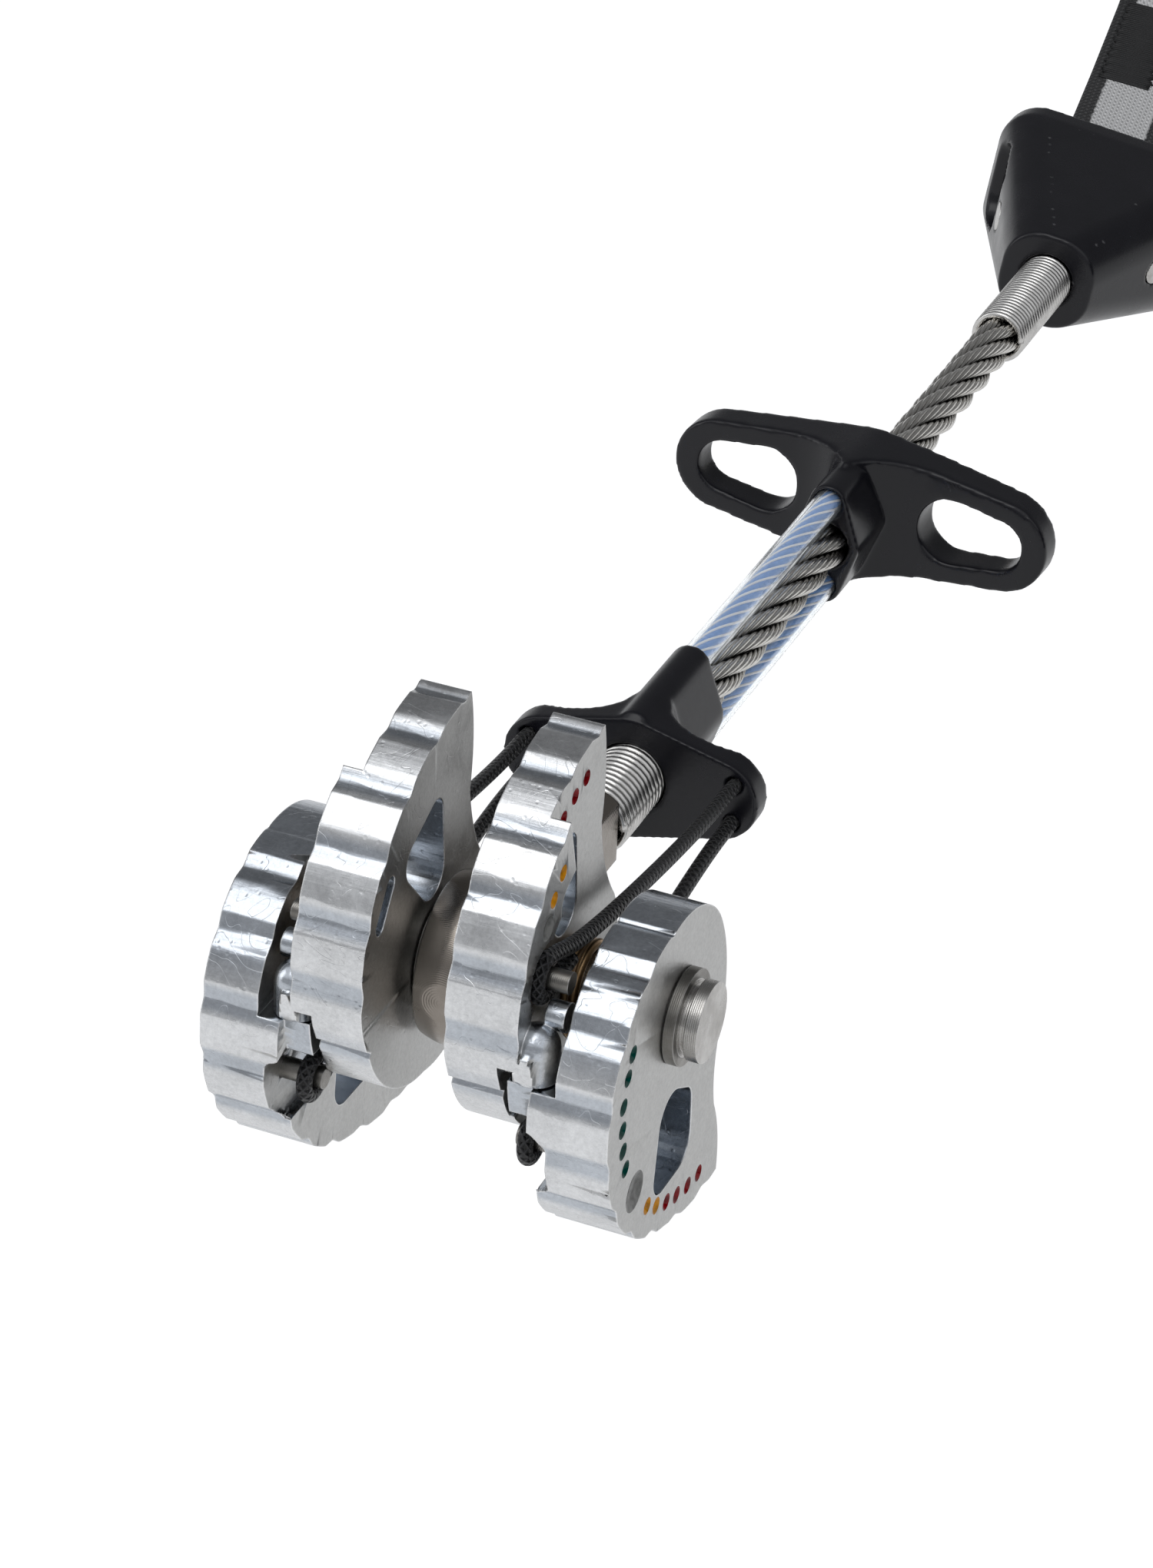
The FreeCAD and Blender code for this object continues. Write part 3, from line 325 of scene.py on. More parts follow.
def edge_rub_and_highlight_group():
    """Mask of outer edges: how far the rounded normal leans from the flat one, times a speckle.

    The lean is one minus the dot product of both normals, spread from 0.015 to 0.20.
    """
    # the mask lightens edges as scuffing and as a painted highlight of their rounding
    group, given, mask = node_group("edge_rub_and_highlight", {"Radius": 0.0002, "Speckle": 0.5}, "Mask")
    rounded = add_node(group, "Bevel", {"Radius": given["Radius"]}, samples=6)
    flat = add_node(group, "NewGeometry")
    dot = add_node(group, "VectorMath", {0: rounded.outputs[0], 1: flat.outputs["Normal"]},
                   operation="DOT_PRODUCT").outputs["Value"]
    dust = noise(group, add_node(group, "TexCoord").outputs["Object"], 900.0, 3.0)
    keep = add_node(group, "Mix", {0: given["Speckle"], 2: 1.0,
                                   3: spread(group, dust, 0.35, 0.62)}).outputs[0]
    group.links.new(maths(group, "MULTIPLY", spread(group, dot, 0.985, 0.80), keep), mask)
    return group


def tool_marks_group():
    """Height of fine marks: long thin noise along one axis, small pits, and a few scratches.

    A pit is the middle of a cell of a Voronoi pattern, and a scratch is the thin line where a
    swirling noise crosses one half.
    """
    group, given, height = node_group("tool_marks", {
        "Stretch": (60.0, 2500.0, 2500.0), "Pits": 0.4, "Scratches": 0.5}, "Height")
    spots = add_node(group, "TexCoord").outputs["Object"]
    drawn = add_node(group, "VectorMath", {0: spots, 1: given["Stretch"]}, operation="MULTIPLY")
    grain = noise(group, drawn.outputs[0], 1.0, 4.0, 0.6)
    cells = add_node(group, "TexVoronoi", {"Vector": spots, "Scale": 1100.0})
    pits = spread(group, cells.outputs["Distance"], 0.05, 0.22, -1.0, 0.0)
    swirl = noise(group, spots, 160.0, 1.0, distortion=2.5)
    off_half = maths(group, "ABSOLUTE", maths(group, "SUBTRACT", swirl, 0.5))
    lines = spread(group, off_half, 0.0, 0.006, -1.0, 0.0)
    pitted = maths(group, "MULTIPLY_ADD", pits, given["Pits"], grain)
    group.links.new(maths(group, "MULTIPLY_ADD", lines, given["Scratches"], pitted), height)
    return group


edge_rub_and_highlight, tool_marks = edge_rub_and_highlight_group(), tool_marks_group()


def axis_distance(tree, spot, axis):
    """The distance from the X, Y or Z axis of a spot that is split into its coordinates."""
    across = [spot[name] for name in "XYZ" if name != axis]
    flat_spot = add_node(tree, "CombineXYZ", dict(enumerate(across))).outputs[0]
    return add_node(tree, "VectorMath", {0: flat_spot}, operation="LENGTH").outputs["Value"]


def raised(tree, shader, height, strength, distance, rounded=None):
    """Bumps a surface by a height, over its own normal or over one with rounded edges."""
    feeds = {"Height": height, "Strength": strength, "Distance": distance}
    if rounded is not None:
        feeds["Normal"] = rounded
    tree.links.new(add_node(tree, "Bump", feeds).outputs[0], shader.inputs["Normal"])


def lobe_aluminium(name, sign):
    """Tumbled aluminium whose tread has smoother valleys, painted darker than the ridges as
    reflection.

    A point's radius over exp(0.2467 x (angle - 270 degrees)) is 20.1 mm on the ridges of the
    spiral and 0.4 to 0.6 mm less in its valleys, with the angle taken from +Y towards the
    lobe's tip, down or up. The tone turns from valley to ridge between 19.78 and 20.03 mm.
    """
    finish, tree, shader = new_material(name)
    spots = add_node(tree, "TexCoord").outputs["Object"]
    spot = add_node(tree, "SeparateXYZ", {0: spots}).outputs
    angle = maths(tree, "ARCTAN2", maths(tree, "MULTIPLY", spot["Z"], float(sign)), spot["Y"])
    past = maths(tree, "WRAP", maths(tree, "ADD", angle, math.pi / 2), math.pi, -math.pi)
    growth = maths(tree, "EXPONENT", maths(tree, "MULTIPLY", past, SPIRAL))
    ridge = spread(tree, maths(tree, "DIVIDE", axis_distance(tree, spot, "X"), growth),
                   0.01978, 0.02003)
    lean = add_node(tree, "SeparateXYZ", {0: add_node(tree, "NewGeometry").outputs["Normal"]})
    side = spread(tree, maths(tree, "ABSOLUTE", lean.outputs["X"]), 0.5, 0.8)
    clouds, dust = noise(tree, spots, 240.0, 5.0, 0.65), noise(tree, spots, 2600.0, 3.0, 0.8)
    grain = add_node(tree, "Mix", {0: 0.5, 2: clouds, 3: dust}).outputs[0]
    # painted reflection: the valleys' tone is darker and bluer than the ridges'
    tread = mixed(tree, ridge, (0.55, 0.585, 0.63, 1), (0.79, 0.80, 0.81, 1))
    tone = mixed(tree, side, tread, (0.54, 0.54, 0.53, 1))
    tone = mixed(tree, 1.0, tone, spread(tree, grain, 0.36, 0.64, 0.80, 1.10), "MULTIPLY")
    # edges paler from scuffing and as a painted highlight of their rounding
    rub_and_highlight = add_node(tree, "Group", {"Radius": 0.00028, "Speckle": 0.35}, node_tree=edge_rub_and_highlight)
    rub_and_highlight_tone = mixed(tree, rub_and_highlight.outputs["Mask"], tone, (0.96, 0.96, 0.96, 1))
    tree.links.new(rub_and_highlight_tone, shader.inputs["Base Color"])
    rough = add_node(tree, "Mix", {0: side, 2: spread(tree, ridge, 0.0, 1.0, 0.20, 0.27),
                                   3: 0.34}).outputs[0]
    uneven = spread(tree, clouds, 0.3, 0.7, -0.06, 0.08)
    tree.links.new(maths(tree, "ADD", rough, uneven), shader.inputs["Roughness"])
    shader.inputs["Metallic"].default_value = 1.0
    marks = add_node(tree, "Group", {"Stretch": (120.0, 2600.0, 2600.0), "Pits": 0.8,
                                     "Scratches": 0.55}, node_tree=tool_marks)
    rounded = add_node(tree, "Bevel", {"Radius": 0.00020}, samples=8).outputs[0]
    raised(tree, shader, marks.outputs["Height"], 0.28, 0.00006, rounded)
    return finish


def paint(name, colour):
    """Enamel paint in a dimple: glossy, and darker in specks where it lies thin."""
    finish, tree, shader = new_material(name)
    specks = noise(tree, add_node(tree, "TexCoord").outputs["Object"], 1500.0, 3.0)
    tone = mixed(tree, 1.0, (*colour, 1), spread(tree, specks, 0.35, 0.6, 0.55, 1.0), "MULTIPLY")
    tree.links.new(tone, shader.inputs["Base Color"])
    shader.inputs["Specular IOR Level"].default_value = 0.15
    shader.inputs["Roughness"].default_value = 0.12
    return finish


def dimple_cutter(name, face, marks, depth):
    """Cones cut off flat, one for each mark: rings of 24 points at radius r outside the face,
    r at the face and 0.55 r at the bottom, closed at both ends."""
    count, clear_of_face, bottom = 24, 0.5, 0.55
    t = np.linspace(0, 2 * np.pi, count, endpoint=False)
    points, faces, tints = [], [], []
    way = math.copysign(1, face)
    for y, z, r, tint in marks:
        first = len(points)
        for x, share in ((face + way * clear_of_face, 1.0), (face, 1.0),
                         (face - way * depth, bottom)):
            points += np.stack([np.full(count, x), y + r * share * np.cos(t),
                                z + r * share * np.sin(t)], -1).tolist()
        for k in (first, first + count):
            faces += [(k + i, k + (i + 1) % count, k + count + (i + 1) % count, k + count + i)
                      for i in range(count)]
        faces += [tuple(first + i for i in reversed(range(count))),
                  tuple(first + 2 * count + i for i in range(count))]
        tints += [tint] * (2 * count + 2)
    mesh = bpy.data.meshes.new(name)
    mesh.from_pydata((np.array(points) * MM).tolist(), [], faces)
    mesh.polygons.foreach_set("material_index", tints)
    cutter = bpy.data.objects.new(name, mesh)
    bpy.context.scene.collection.objects.link(cutter)
    work = bmesh.new()
    work.from_mesh(mesh)
    bmesh.ops.recalc_face_normals(work, faces=work.faces)
    work.to_mesh(mesh)
    work.free()
    return cutter


enamels = [paint("red_enamel", (0.30, 0.002, 0.006)), paint("amber_enamel", (0.78, 0.33, 0.01)),
           paint("green_enamel", (0.0, 0.070, 0.055)), paint("grey_plug", (0.24, 0.24, 0.23))]
DIMPLE_DEEP = 0.36
# a mark's y, z and radius in millimetres, and its paint: 1 red, 2 amber, 3 green, 4 grey
outer_marks = [(y, z, 0.74, 3) for y, z in (
    (-9.74, 2.24), (-10.5, 0.5), (-11.12, -1.77), (-11.07, -3.93), (-10.71, -6.11),
    (-9.97, -8.23))] + [(y, z, 0.74, 2) for y, z in ((-4.63, -15.25), (-2.61, -16.56))] + [
    (y, z, 0.74, 1) for y, z in ((-0.33, -17.70), (1.97, -18.52), (4.43, -19.21), (6.88, -19.58))]
plug_mark = (-7.70, -11.83, 1.75, 4)
inner_marks = [(1.84, 17.75, 0.68, 1), (-0.34, 17.26, 0.68, 1), (-2.53, 16.43, 0.68, 1)]
rim_marks = [(-6.3, 14.2, 0.68, 2), (-7.9, 12.7, 0.68, 2), (-8.8, 10.7, 0.98, 4)]
# the way that a lobe curls, its tread's first and last degree, a tooth's corner on the right
# and on the left lobe, and its marked faces: how far out they are, and their marks
LOBES = {
    "outer": (1, 102, 297, (178.0, 176.3), [(17.18, outer_marks + [plug_mark])]),
    "inner": (-1, 177, 284, (207.8, 209.5), [(7.76, inner_marks), (9.46, rim_marks)])}
for kind, (sign, first, last, corners, faces) in LOBES.items():
    finishes = [lobe_aluminium(kind + "_lobe_aluminium", sign)] + enamels
    for hand, way in SIDES.items():
        node = "cam_%s_%s" % (kind, hand)
        lobe = whole_copy("%s_lobe_%s" % (kind, hand), node)
        for finish in finishes:
            lobe.data.materials.append(finish)
        for at, marks in faces:
            cutter = dimple_cutter("cutter", way * at, marks, DIMPLE_DEEP)
            for finish in finishes:
                cutter.data.materials.append(finish)
            drill = lobe.modifiers.new("drill", "BOOLEAN")
            drill.object, drill.operation, drill.solver = cutter, "DIFFERENCE", "EXACT"
            finished_mesh(lobe)
            bpy.data.objects.remove(cutter)
        worn_teeth(lobe, sign, first, last, corners[way < 0], kind == "outer")
        shade_to(lobe.data, 18)
        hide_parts(node)
        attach(lobe, "lobe_%s_%s" % (kind, hand))

# ---------------------------------------------------------------- axle, washers, spacers, pins
# A steel axle with a turned shoulder and a riveted head at each end; thin washers beside the
# lobes; turned spacers between them; short turned pins that hold the cord eyes.


def wave(tree, feed, pitch):
    """The sine that takes one turn in each pitch of its feed."""
    return maths(tree, "SINE", maths(tree, "MULTIPLY", feed, 2 * math.pi / pitch))


def metal_finish(name, tint, dark, roughness, rings=None, grime=0.35, rub_and_highlight=0.4, metallic=1.0,
                 bump=0.12, pitch=0.00016, bevel=0.00012):
    """A metal with clouded tone, edges lighter from scuffing and a painted highlight, fine marks
    and, about an axis, lathe rings.

    The rings are the sine of the distance from the axis plus the distance along it; tint is
    the clean tone and dark the tone in its clouds.
    """
    finish, tree, shader = new_material(name)
    spots = add_node(tree, "TexCoord").outputs["Object"]
    clouds = noise(tree, spots, 420.0, 6.0, 0.7)
    tone = mixed(tree, spread(tree, clouds, 0.35, 0.68, 0.0, grime), (*tint, 1), (*dark, 1))
    # edges paler from scuffing and as a painted highlight, by the given share
    edge = add_node(tree, "Group", {"Radius": bevel * 1.4, "Speckle": 0.45}, node_tree=edge_rub_and_highlight)
    share = maths(tree, "MULTIPLY", edge.outputs["Mask"], rub_and_highlight)
    tree.links.new(mixed(tree, share, tone, (0.93, 0.93, 0.93, 1)), shader.inputs["Base Color"])
    uneven = spread(tree, clouds, 0.3, 0.7, roughness - 0.05, roughness + 0.1)
    tree.links.new(uneven, shader.inputs["Roughness"])
    shader.inputs["Metallic"].default_value = metallic
    marks = add_node(tree, "Group", {"Stretch": (1500.0, 1500.0, 1500.0)}, node_tree=tool_marks)
    height = marks.outputs["Height"]
    if rings:
        spot = add_node(tree, "SeparateXYZ", {0: spots}).outputs
        out_and_along = maths(tree, "ADD", axis_distance(tree, spot, rings), spot[rings])
        height = maths(tree, "MULTIPLY_ADD", wave(tree, out_and_along, pitch), 0.8, height)
    rounded = add_node(tree, "Bevel", {"Radius": bevel}, samples=6).outputs[0]
    raised(tree, shader, height, bump, 0.00005, rounded)
    return finish


def kept_node(name, finish, angle=30):
    """A CAD node as it stands, with its finish and its edges shaded by angle."""
    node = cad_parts[name]
    node.data.materials.clear()
    node.data.materials.append(finish)
    shade_to(node.data, angle)


turned = metal_finish("turned_steel", (0.30, 0.29, 0.27), (0.10, 0.09, 0.08), 0.30, "X", 0.6)
polished = metal_finish("polished_steel", (0.60, 0.59, 0.57), (0.25, 0.23, 0.21), 0.24, "X", 0.5)
kept_node("axle", polished)
kept_node("sling_pin", polished)
for hand in SIDES:
    kept_node("washer_" + hand, turned)
    kept_node("spacer_" + hand, turned)
    for kind in ("inner", "outer"):
        kept_node("cord_pin_%s_%s" % (kind, hand), turned)

# ---------------------------------------------------------------- terminal
# The steel end fitting swaged on the stem: a turned ball round the axle and a shank, with two
# milled flats where the springs sit.
swaged = metal_finish("swaged_steel", (0.30, 0.27, 0.24), (0.20, 0.17, 0.14), 0.20, "Y", 0.3,
                      bump=0.10, pitch=0.00022, bevel=0.0003)
kept_node("terminal", swaged, 35)

# ---------------------------------------------------------------- stem cable
# The stem is a steel wire rope of six strands, each of eight outer wires laid the other way
# round a core. It is swaged in the terminal at the front and runs into the thumb piece behind.


def tube(route, radius, sides):
    """Rings of points round a route, at radius x (cosine x normal + sine x side).

    The normal is carried along without twist, and the side is square to it and to the route.
    route is (steps, 3) points; one closed ring per step, capped. Returns points and faces.
    """
    steps = len(route)
    along = np.gradient(route, axis=0)
    along /= np.linalg.norm(along, axis=1)[:, None]
    first = np.cross(along[0], (0.0, 0.0, 1.0))
    if np.linalg.norm(first) < 1e-3:
        first = np.cross(along[0], (1.0, 0.0, 0.0))
    normals = [first / np.linalg.norm(first)]
    for t in along[1:]:
        n = normals[-1] - t * np.dot(normals[-1], t)
        normals.append(n / np.linalg.norm(n))
    normals = np.array(normals)
    others = np.cross(along, normals)
    a = np.linspace(0, 2 * np.pi, sides, endpoint=False)
    rings = (route[:, None] + radius * (np.cos(a)[None, :, None] * normals[:, None]
                                        + np.sin(a)[None, :, None] * others[:, None]))
    i, k = np.meshgrid(np.arange(steps - 1), np.arange(sides), indexing="ij")
    n = (k + 1) % sides
    quads = np.stack([i * sides + k, i * sides + n, (i + 1) * sides + n, (i + 1) * sides + k],
                     -1).reshape(-1, 4)
    ends = [tuple(range(sides - 1, -1, -1)),
            tuple((steps - 1) * sides + j for j in range(sides))]
    return rings.reshape(-1, 3), quads.tolist() + ends


def mesh_of(name, parts, finish, body, stands_for=()):
    """One object from several (points, faces) in millimetres, smooth, riding a body."""
    points, faces, first = [], [], 0
    for some, quads in parts:
        points.append(some)
        faces += [tuple(int(q) + first for q in f) for f in quads]
        first += len(some)
    mesh = bpy.data.meshes.new(name)
    mesh.from_pydata((np.concatenate(points) * MM).tolist(), [], faces)
    mesh.materials.append(finish)
    mesh.shade_smooth()
    piece = bpy.data.objects.new(name, mesh)
    bpy.context.scene.collection.objects.link(piece)
    if stands_for:
        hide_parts(*stands_for)
    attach(piece, body)
    return piece


def laid_rope(front, back_end, strands, strand_at, wires, wire_at, wire, lay, wire_lay, steps,
              sides):
    """Wires round strands round a straight rope along Y.

    A strand's centre goes round the rope at radius strand_at, one turn in each lay; a wire's
    centre goes round the strand at radius wire_at, in the plane square to the strand.
    """
    y = np.linspace(front, back_end, steps)
    none = np.zeros(steps)
    parts = []
    for s in range(strands):
        a = 2 * np.pi * (s / strands + (y - front) / lay)
        radial = np.stack([np.cos(a), none, np.sin(a)], -1)
        route = strand_at * radial + np.stack([none, y, none], -1)
        along = np.gradient(route, axis=0)
        along /= np.linalg.norm(along, axis=1)[:, None]
        side = np.cross(along, radial)
        for w in range(wires):
            b = 2 * np.pi * (w / wires - (y - front) / wire_lay)
            parts.append(tube(route + wire_at * (np.cos(b)[:, None] * radial
                                                 + np.sin(b)[:, None] * side), wire, sides))
        parts.append(tube(route, wire_at * 0.85, sides))
    return parts


def painted_hollow_shade(finish, inner, outer, share):
    """Paints shade into a rope's metal towards its hollows: the tone falls to a share of itself at
    the inner distance from the Y axis, and is whole at the outer one, in millimetres."""
    tree = finish.node_tree
    colour = tree.nodes["Principled BSDF"].inputs["Base Color"]
    spot = add_node(tree, "SeparateXYZ", {0: add_node(tree, "TexCoord").outputs["Object"]})
    # painted shade: darker towards the hollows between wires and strands
    whole = spread(tree, axis_distance(tree, spot.outputs, "Y"), inner * MM, outer * MM, share)
    hollow_shaded = mixed(tree, 1.0, colour.links[0].from_socket, whole, "MULTIPLY")
    tree.links.new(hollow_shaded, colour)
    return finish


wire_bright = painted_hollow_shade(metal_finish(
    "wire_bright", (0.84, 0.82, 0.78), (0.52, 0.50, 0.47), 0.20, None, 0.5, bump=0.05, rub_and_highlight=0.0),
    inner=1.45, outer=2.05, share=0.14)
rope = laid_rope(front=22.9, back_end=151.0, strands=6, strand_at=1.5, wires=8, wire_at=0.52,
                 wire=0.215, lay=-32.0, wire_lay=9.0, steps=230, sides=6)
mesh_of("stem_rope", rope, wire_bright, "stem", ["stem_cable"])

# ---------------------------------------------------------------- coils and torsion springs
# Close-wound wire sleeves over the rope, behind the terminal and ahead of the thumb piece;
# a short spring of bronze-toned wire beside each inner lobe.


def coil(front, back_end, pitch, mean, wire, sides=10, per_turn=28, way="Y"):
    """A helix about Y or X whose wire just reaches both ends: at the mean radius, its angle
    is 2 pi times the distance over the pitch."""
    front, back_end = front + wire, back_end - wire
    turns = (back_end - front) / pitch
    t = np.linspace(0, turns, int(turns * per_turn) + 1)
    a, along = 2 * np.pi * t, front + pitch * t
    if way == "Y":
        return tube(np.stack([mean * np.cos(a), along, mean * np.sin(a)], -1), wire, sides)
    return tube(np.stack([along, mean * np.cos(a), mean * np.sin(a)], -1), wire, sides)


SLEEVE_WIRE, SPRING_WIRE = 0.35, 0.4        # half a wire's thickness
coil_wire = metal_finish("coil_wire", (0.70, 0.69, 0.67), (0.42, 0.41, 0.40), 0.22, None, 0.5,
                         bump=0.05, rub_and_highlight=0.0)
for name, front, back_end, mean in (("stem", 22.92, 33.2, 2.85), ("ferrule", 130.5, 148.0, 2.52)):
    turns = coil(front, back_end, 2 * SLEEVE_WIRE, mean, SLEEVE_WIRE)
    mesh_of(name + "_sleeve", [turns], coil_wire, "stem", [name + "_coil"])
bronze = metal_finish("bronze_wire", (0.50, 0.33, 0.17), (0.20, 0.11, 0.05), 0.28, None, 0.6,
                      bump=0.08, rub_and_highlight=0.2)
for hand, way in SIDES.items():
    points, faces = coil(8.28, 10.38, pitch=0.65, mean=3.75, wire=SPRING_WIRE, sides=12,
                         per_turn=48, way="X")
    if way < 0:
        faces = [tuple(reversed(f)) for f in faces]
    mesh_of("spring_" + hand, [(points * (way, 1, 1), faces)], bronze, "stem",
            ["torsion_spring_" + hand])

# ---------------------------------------------------------------- yoke, trigger and thumb piece
# What the hand works: a yoke that pulls the cords, a bar for two fingers and a hollow horn for
# the thumb. Forged and machined aluminium, black anodised and tumbled, so every edge is soft.


def softened(name, node, voxel, rounds, body):
    """A CAD node's copy, remeshed in small cells, its corners eased by averaging neighbours."""
    piece = whole_copy(name, node)
    cells = piece.modifiers.new("cells", "REMESH")
    cells.mode, cells.voxel_size = "VOXEL", voxel * MM
    ease = piece.modifiers.new("ease", "SMOOTH")
    ease.factor, ease.iterations = 0.5, rounds
    finished_mesh(piece)
    piece.data.shade_smooth()
    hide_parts(node)
    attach(piece, body)
    return piece


def anodised_black():
    """Black anodised aluminium: a dark dielectric film over metal, its edges paler from scuffing
    and as a painted highlight.
    """
    finish, tree, shader = new_material("black_anodised")
    spots = add_node(tree, "TexCoord").outputs["Object"]
    clouds = noise(tree, spots, 220.0, 5.0, 0.65)
    tone = mixed(tree, clouds, (0.004, 0.004, 0.006, 1), (0.010, 0.010, 0.014, 1))
    ridge = spread(tree, add_node(tree, "NewGeometry").outputs["Pointiness"], 0.57, 0.67)
    specks = spread(tree, noise(tree, spots, 1400.0, 3.0), 0.45, 0.6)
    # edges paler as scuffing and as a painted highlight
    rubbed_and_highlit = maths(tree, "MULTIPLY", maths(tree, "MULTIPLY", ridge, specks), 0.32)
    tree.links.new(mixed(tree, rubbed_and_highlit, tone, (0.30, 0.30, 0.31, 1)), shader.inputs["Base Color"])
    tree.links.new(spread(tree, clouds, 0.3, 0.7, 0.20, 0.30), shader.inputs["Roughness"])
    shader.inputs["Metallic"].default_value = 0.0
    shader.inputs["Specular IOR Level"].default_value = 0.36
    marks = add_node(tree, "Group", {"Stretch": (1800.0, 1800.0, 1800.0), "Pits": 0.25,
                                     "Scratches": 0.3}, node_tree=tool_marks)
    raised(tree, shader, marks.outputs["Height"], 0.12, 0.00005)
    return finish


anodised = anodised_black()
for name, node, voxel, rounds, body in (("pull_yoke", "yoke", 0.2, 8, "trigger_set"),
                                        ("finger_bar", "trigger", 0.25, 10, "trigger_set"),
                                        ("thumb_rest", "thumb_piece", 0.22, 8, "stem")):
    softened(name, node, voxel, rounds, body).data.materials.append(anodised)

# ---------------------------------------------------------------- link cables and clear sleeves
# Two fine cables of blue strands join the yoke to the trigger, with thin white threads in their
# grooves as painted highlights. Each runs in a clear plastic tube.
link_wire = metal_finish("link_wire", (0.11, 0.29, 0.66), (0.07, 0.20, 0.48), 0.25, None, 0.6,
                         metallic=0.1, bump=0.05, rub_and_highlight=0.0)
link_highlight_thread = metal_finish("link_highlight_thread", (0.90, 0.87, 0.87), (0.70, 0.68, 0.70), 0.30, None, 0.3,
                          metallic=0.0, bump=0.05, rub_and_highlight=0.0)
clear, tree, shader = new_material("clear_sleeve")
spots = add_node(tree, "TexCoord").outputs["Object"]
haze = spread(tree, noise(tree, spots, 300.0, 5.0), 0.35, 0.7, 0.03, 0.08)
tree.links.new(haze, shader.inputs["Roughness"])
shader.inputs["Base Color"].default_value = (0.93, 0.96, 0.98, 1)
shader.inputs["Transmission Weight"].default_value = 0.95
shader.inputs["IOR"].default_value = 1.38
drawn = add_node(tree, "VectorMath", {0: spots, 1: (900.0, 120.0, 900.0)}, operation="MULTIPLY")
raised(tree, shader, noise(tree, drawn.outputs[0], 1.0, 2.0), 0.06, 0.0001)
LINK_AT, LINK_TWIST, LINK_STRANDS = 4.28, 17.0, 7


def link_strands(front, back_end, strand_at, strand, shift, z):
    """Seven round strands side by side at radius strand_at from the cable's middle, each going
    once round it in 17 mm."""
    y = np.linspace(front, back_end, 150)
    parts = []
    for s in range(LINK_STRANDS):
        a = -2 * np.pi * ((s + shift) / LINK_STRANDS + (y - front) / LINK_TWIST)
        parts.append(tube(np.stack([strand_at * np.cos(a), y, z + strand_at * np.sin(a)], -1),
                          strand, 8))
    return parts


for name, z in (("upper", LINK_AT), ("lower", -LINK_AT)):
    kept_node("link_sleeve_" + name, clear)
    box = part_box("link_cable_" + name)
    first, last = box[0][1] / MM, box[1][1] / MM
    strands = link_strands(first, last, strand_at=0.60, strand=0.335, shift=0.0, z=z)
    # thin white threads laid in the grooves: painted highlights on the strands
    highlight_threads = link_strands(first, last, strand_at=0.83, strand=0.105, shift=0.5, z=z)
    rope = mesh_of("link_rope_" + name, strands + highlight_threads, link_wire, "trigger_set",
                   ["link_cable_" + name])
    rope.data.materials.append(link_highlight_thread)
    tints = np.zeros(len(rope.data.polygons), int)
    tints[len(tints) // 2:] = 1
    rope.data.polygons.foreach_set("material_index", tints)

# ---------------------------------------------------------------- pull cords
# Four braided cords of 1.3 mm. Each comes out of the yoke, runs forward to a lobe, goes round
# its pin and is stitched back on itself.


def braid_black():
    """Braided black cord: two crossing sets of strands from UV, as height and as shade.

    A set is the sine of one turn in each unit of 1.6 u + 5 v, or of 1.6 u - 5 v, and the higher
    of both shows.
    """
    finish, tree, shader = new_material("black_cord")
    spot = add_node(tree, "SeparateXYZ", {0: add_node(tree, "UVMap", uv_map="UVMap").outputs[0]})
    u, v = spot.outputs["X"], spot.outputs["Y"]
    height = maths(tree, "MAXIMUM", *(
        wave(tree, maths(tree, "MULTIPLY_ADD", u, 1.6, maths(tree, "MULTIPLY", v, lean)), 1.0)
        for lean in (5.0, -5.0)))
    # painted shade and highlight: the braid's grooves darker, its crests lighter
    tone = mixed(tree, spread(tree, height, 0.0, 1.0), (0.002, 0.002, 0.002, 1),
                 (0.026, 0.026, 0.028, 1))
    tree.links.new(tone, shader.inputs["Base Color"])
    shader.inputs["Roughness"].default_value = 0.34
    shader.inputs["Specular IOR Level"].default_value = 0.35
    shader.inputs["Sheen Weight"].default_value = 0.03
    raised(tree, shader, height, 0.9, 0.00015)
    return finish


def lengths(line):
    """How far along a line each of its points lies."""
    return np.concatenate([[0], np.cumsum(np.linalg.norm(np.diff(line, axis=0), axis=1))])


def points_at(line, reach, at):
    """The points that lie at given distances along a line."""
    return np.stack([np.interp(at, reach, column) for column in line.T], -1)


CORD_AT, CORD_STEP = 0.0094, 0.00022        # how far out a cord runs, and a ring's step, in metres
CORD_HALF, CORD_SIDES = 0.65, 16
BRAID = 1.1             # millimetres of cord to one unit of u


def cord_route(name, x, points):
    """Evenly spread points of the NURBS curve of order 3 through the route's control points."""
    curve = bpy.data.curves.new(name, "CURVE")
    curve.dimensions = "3D"
    spline = curve.splines.new("NURBS")
    spline.points.add(len(points) - 1)
    for point, (y, z) in zip(spline.points, points):
        point.co = (x, y, z, 1)
    spline.order_u, spline.use_endpoint_u, spline.resolution_u = 3, True, 24
    line = bpy.data.objects.new(name, curve)
    bpy.context.scene.collection.objects.link(line)
    mesh = bpy.data.meshes.new_from_object(
        line.evaluated_get(bpy.context.evaluated_depsgraph_get()))
    found = np.empty(len(mesh.vertices) * 3)
    mesh.vertices.foreach_get("co", found)
    bpy.data.objects.remove(line)
    bpy.data.meshes.remove(mesh)
    found = found.reshape(-1, 3)
    reach = lengths(found)
    even = np.linspace(0, reach[-1], int(reach[-1] / CORD_STEP))
    return points_at(found, reach, even), reach[-1]


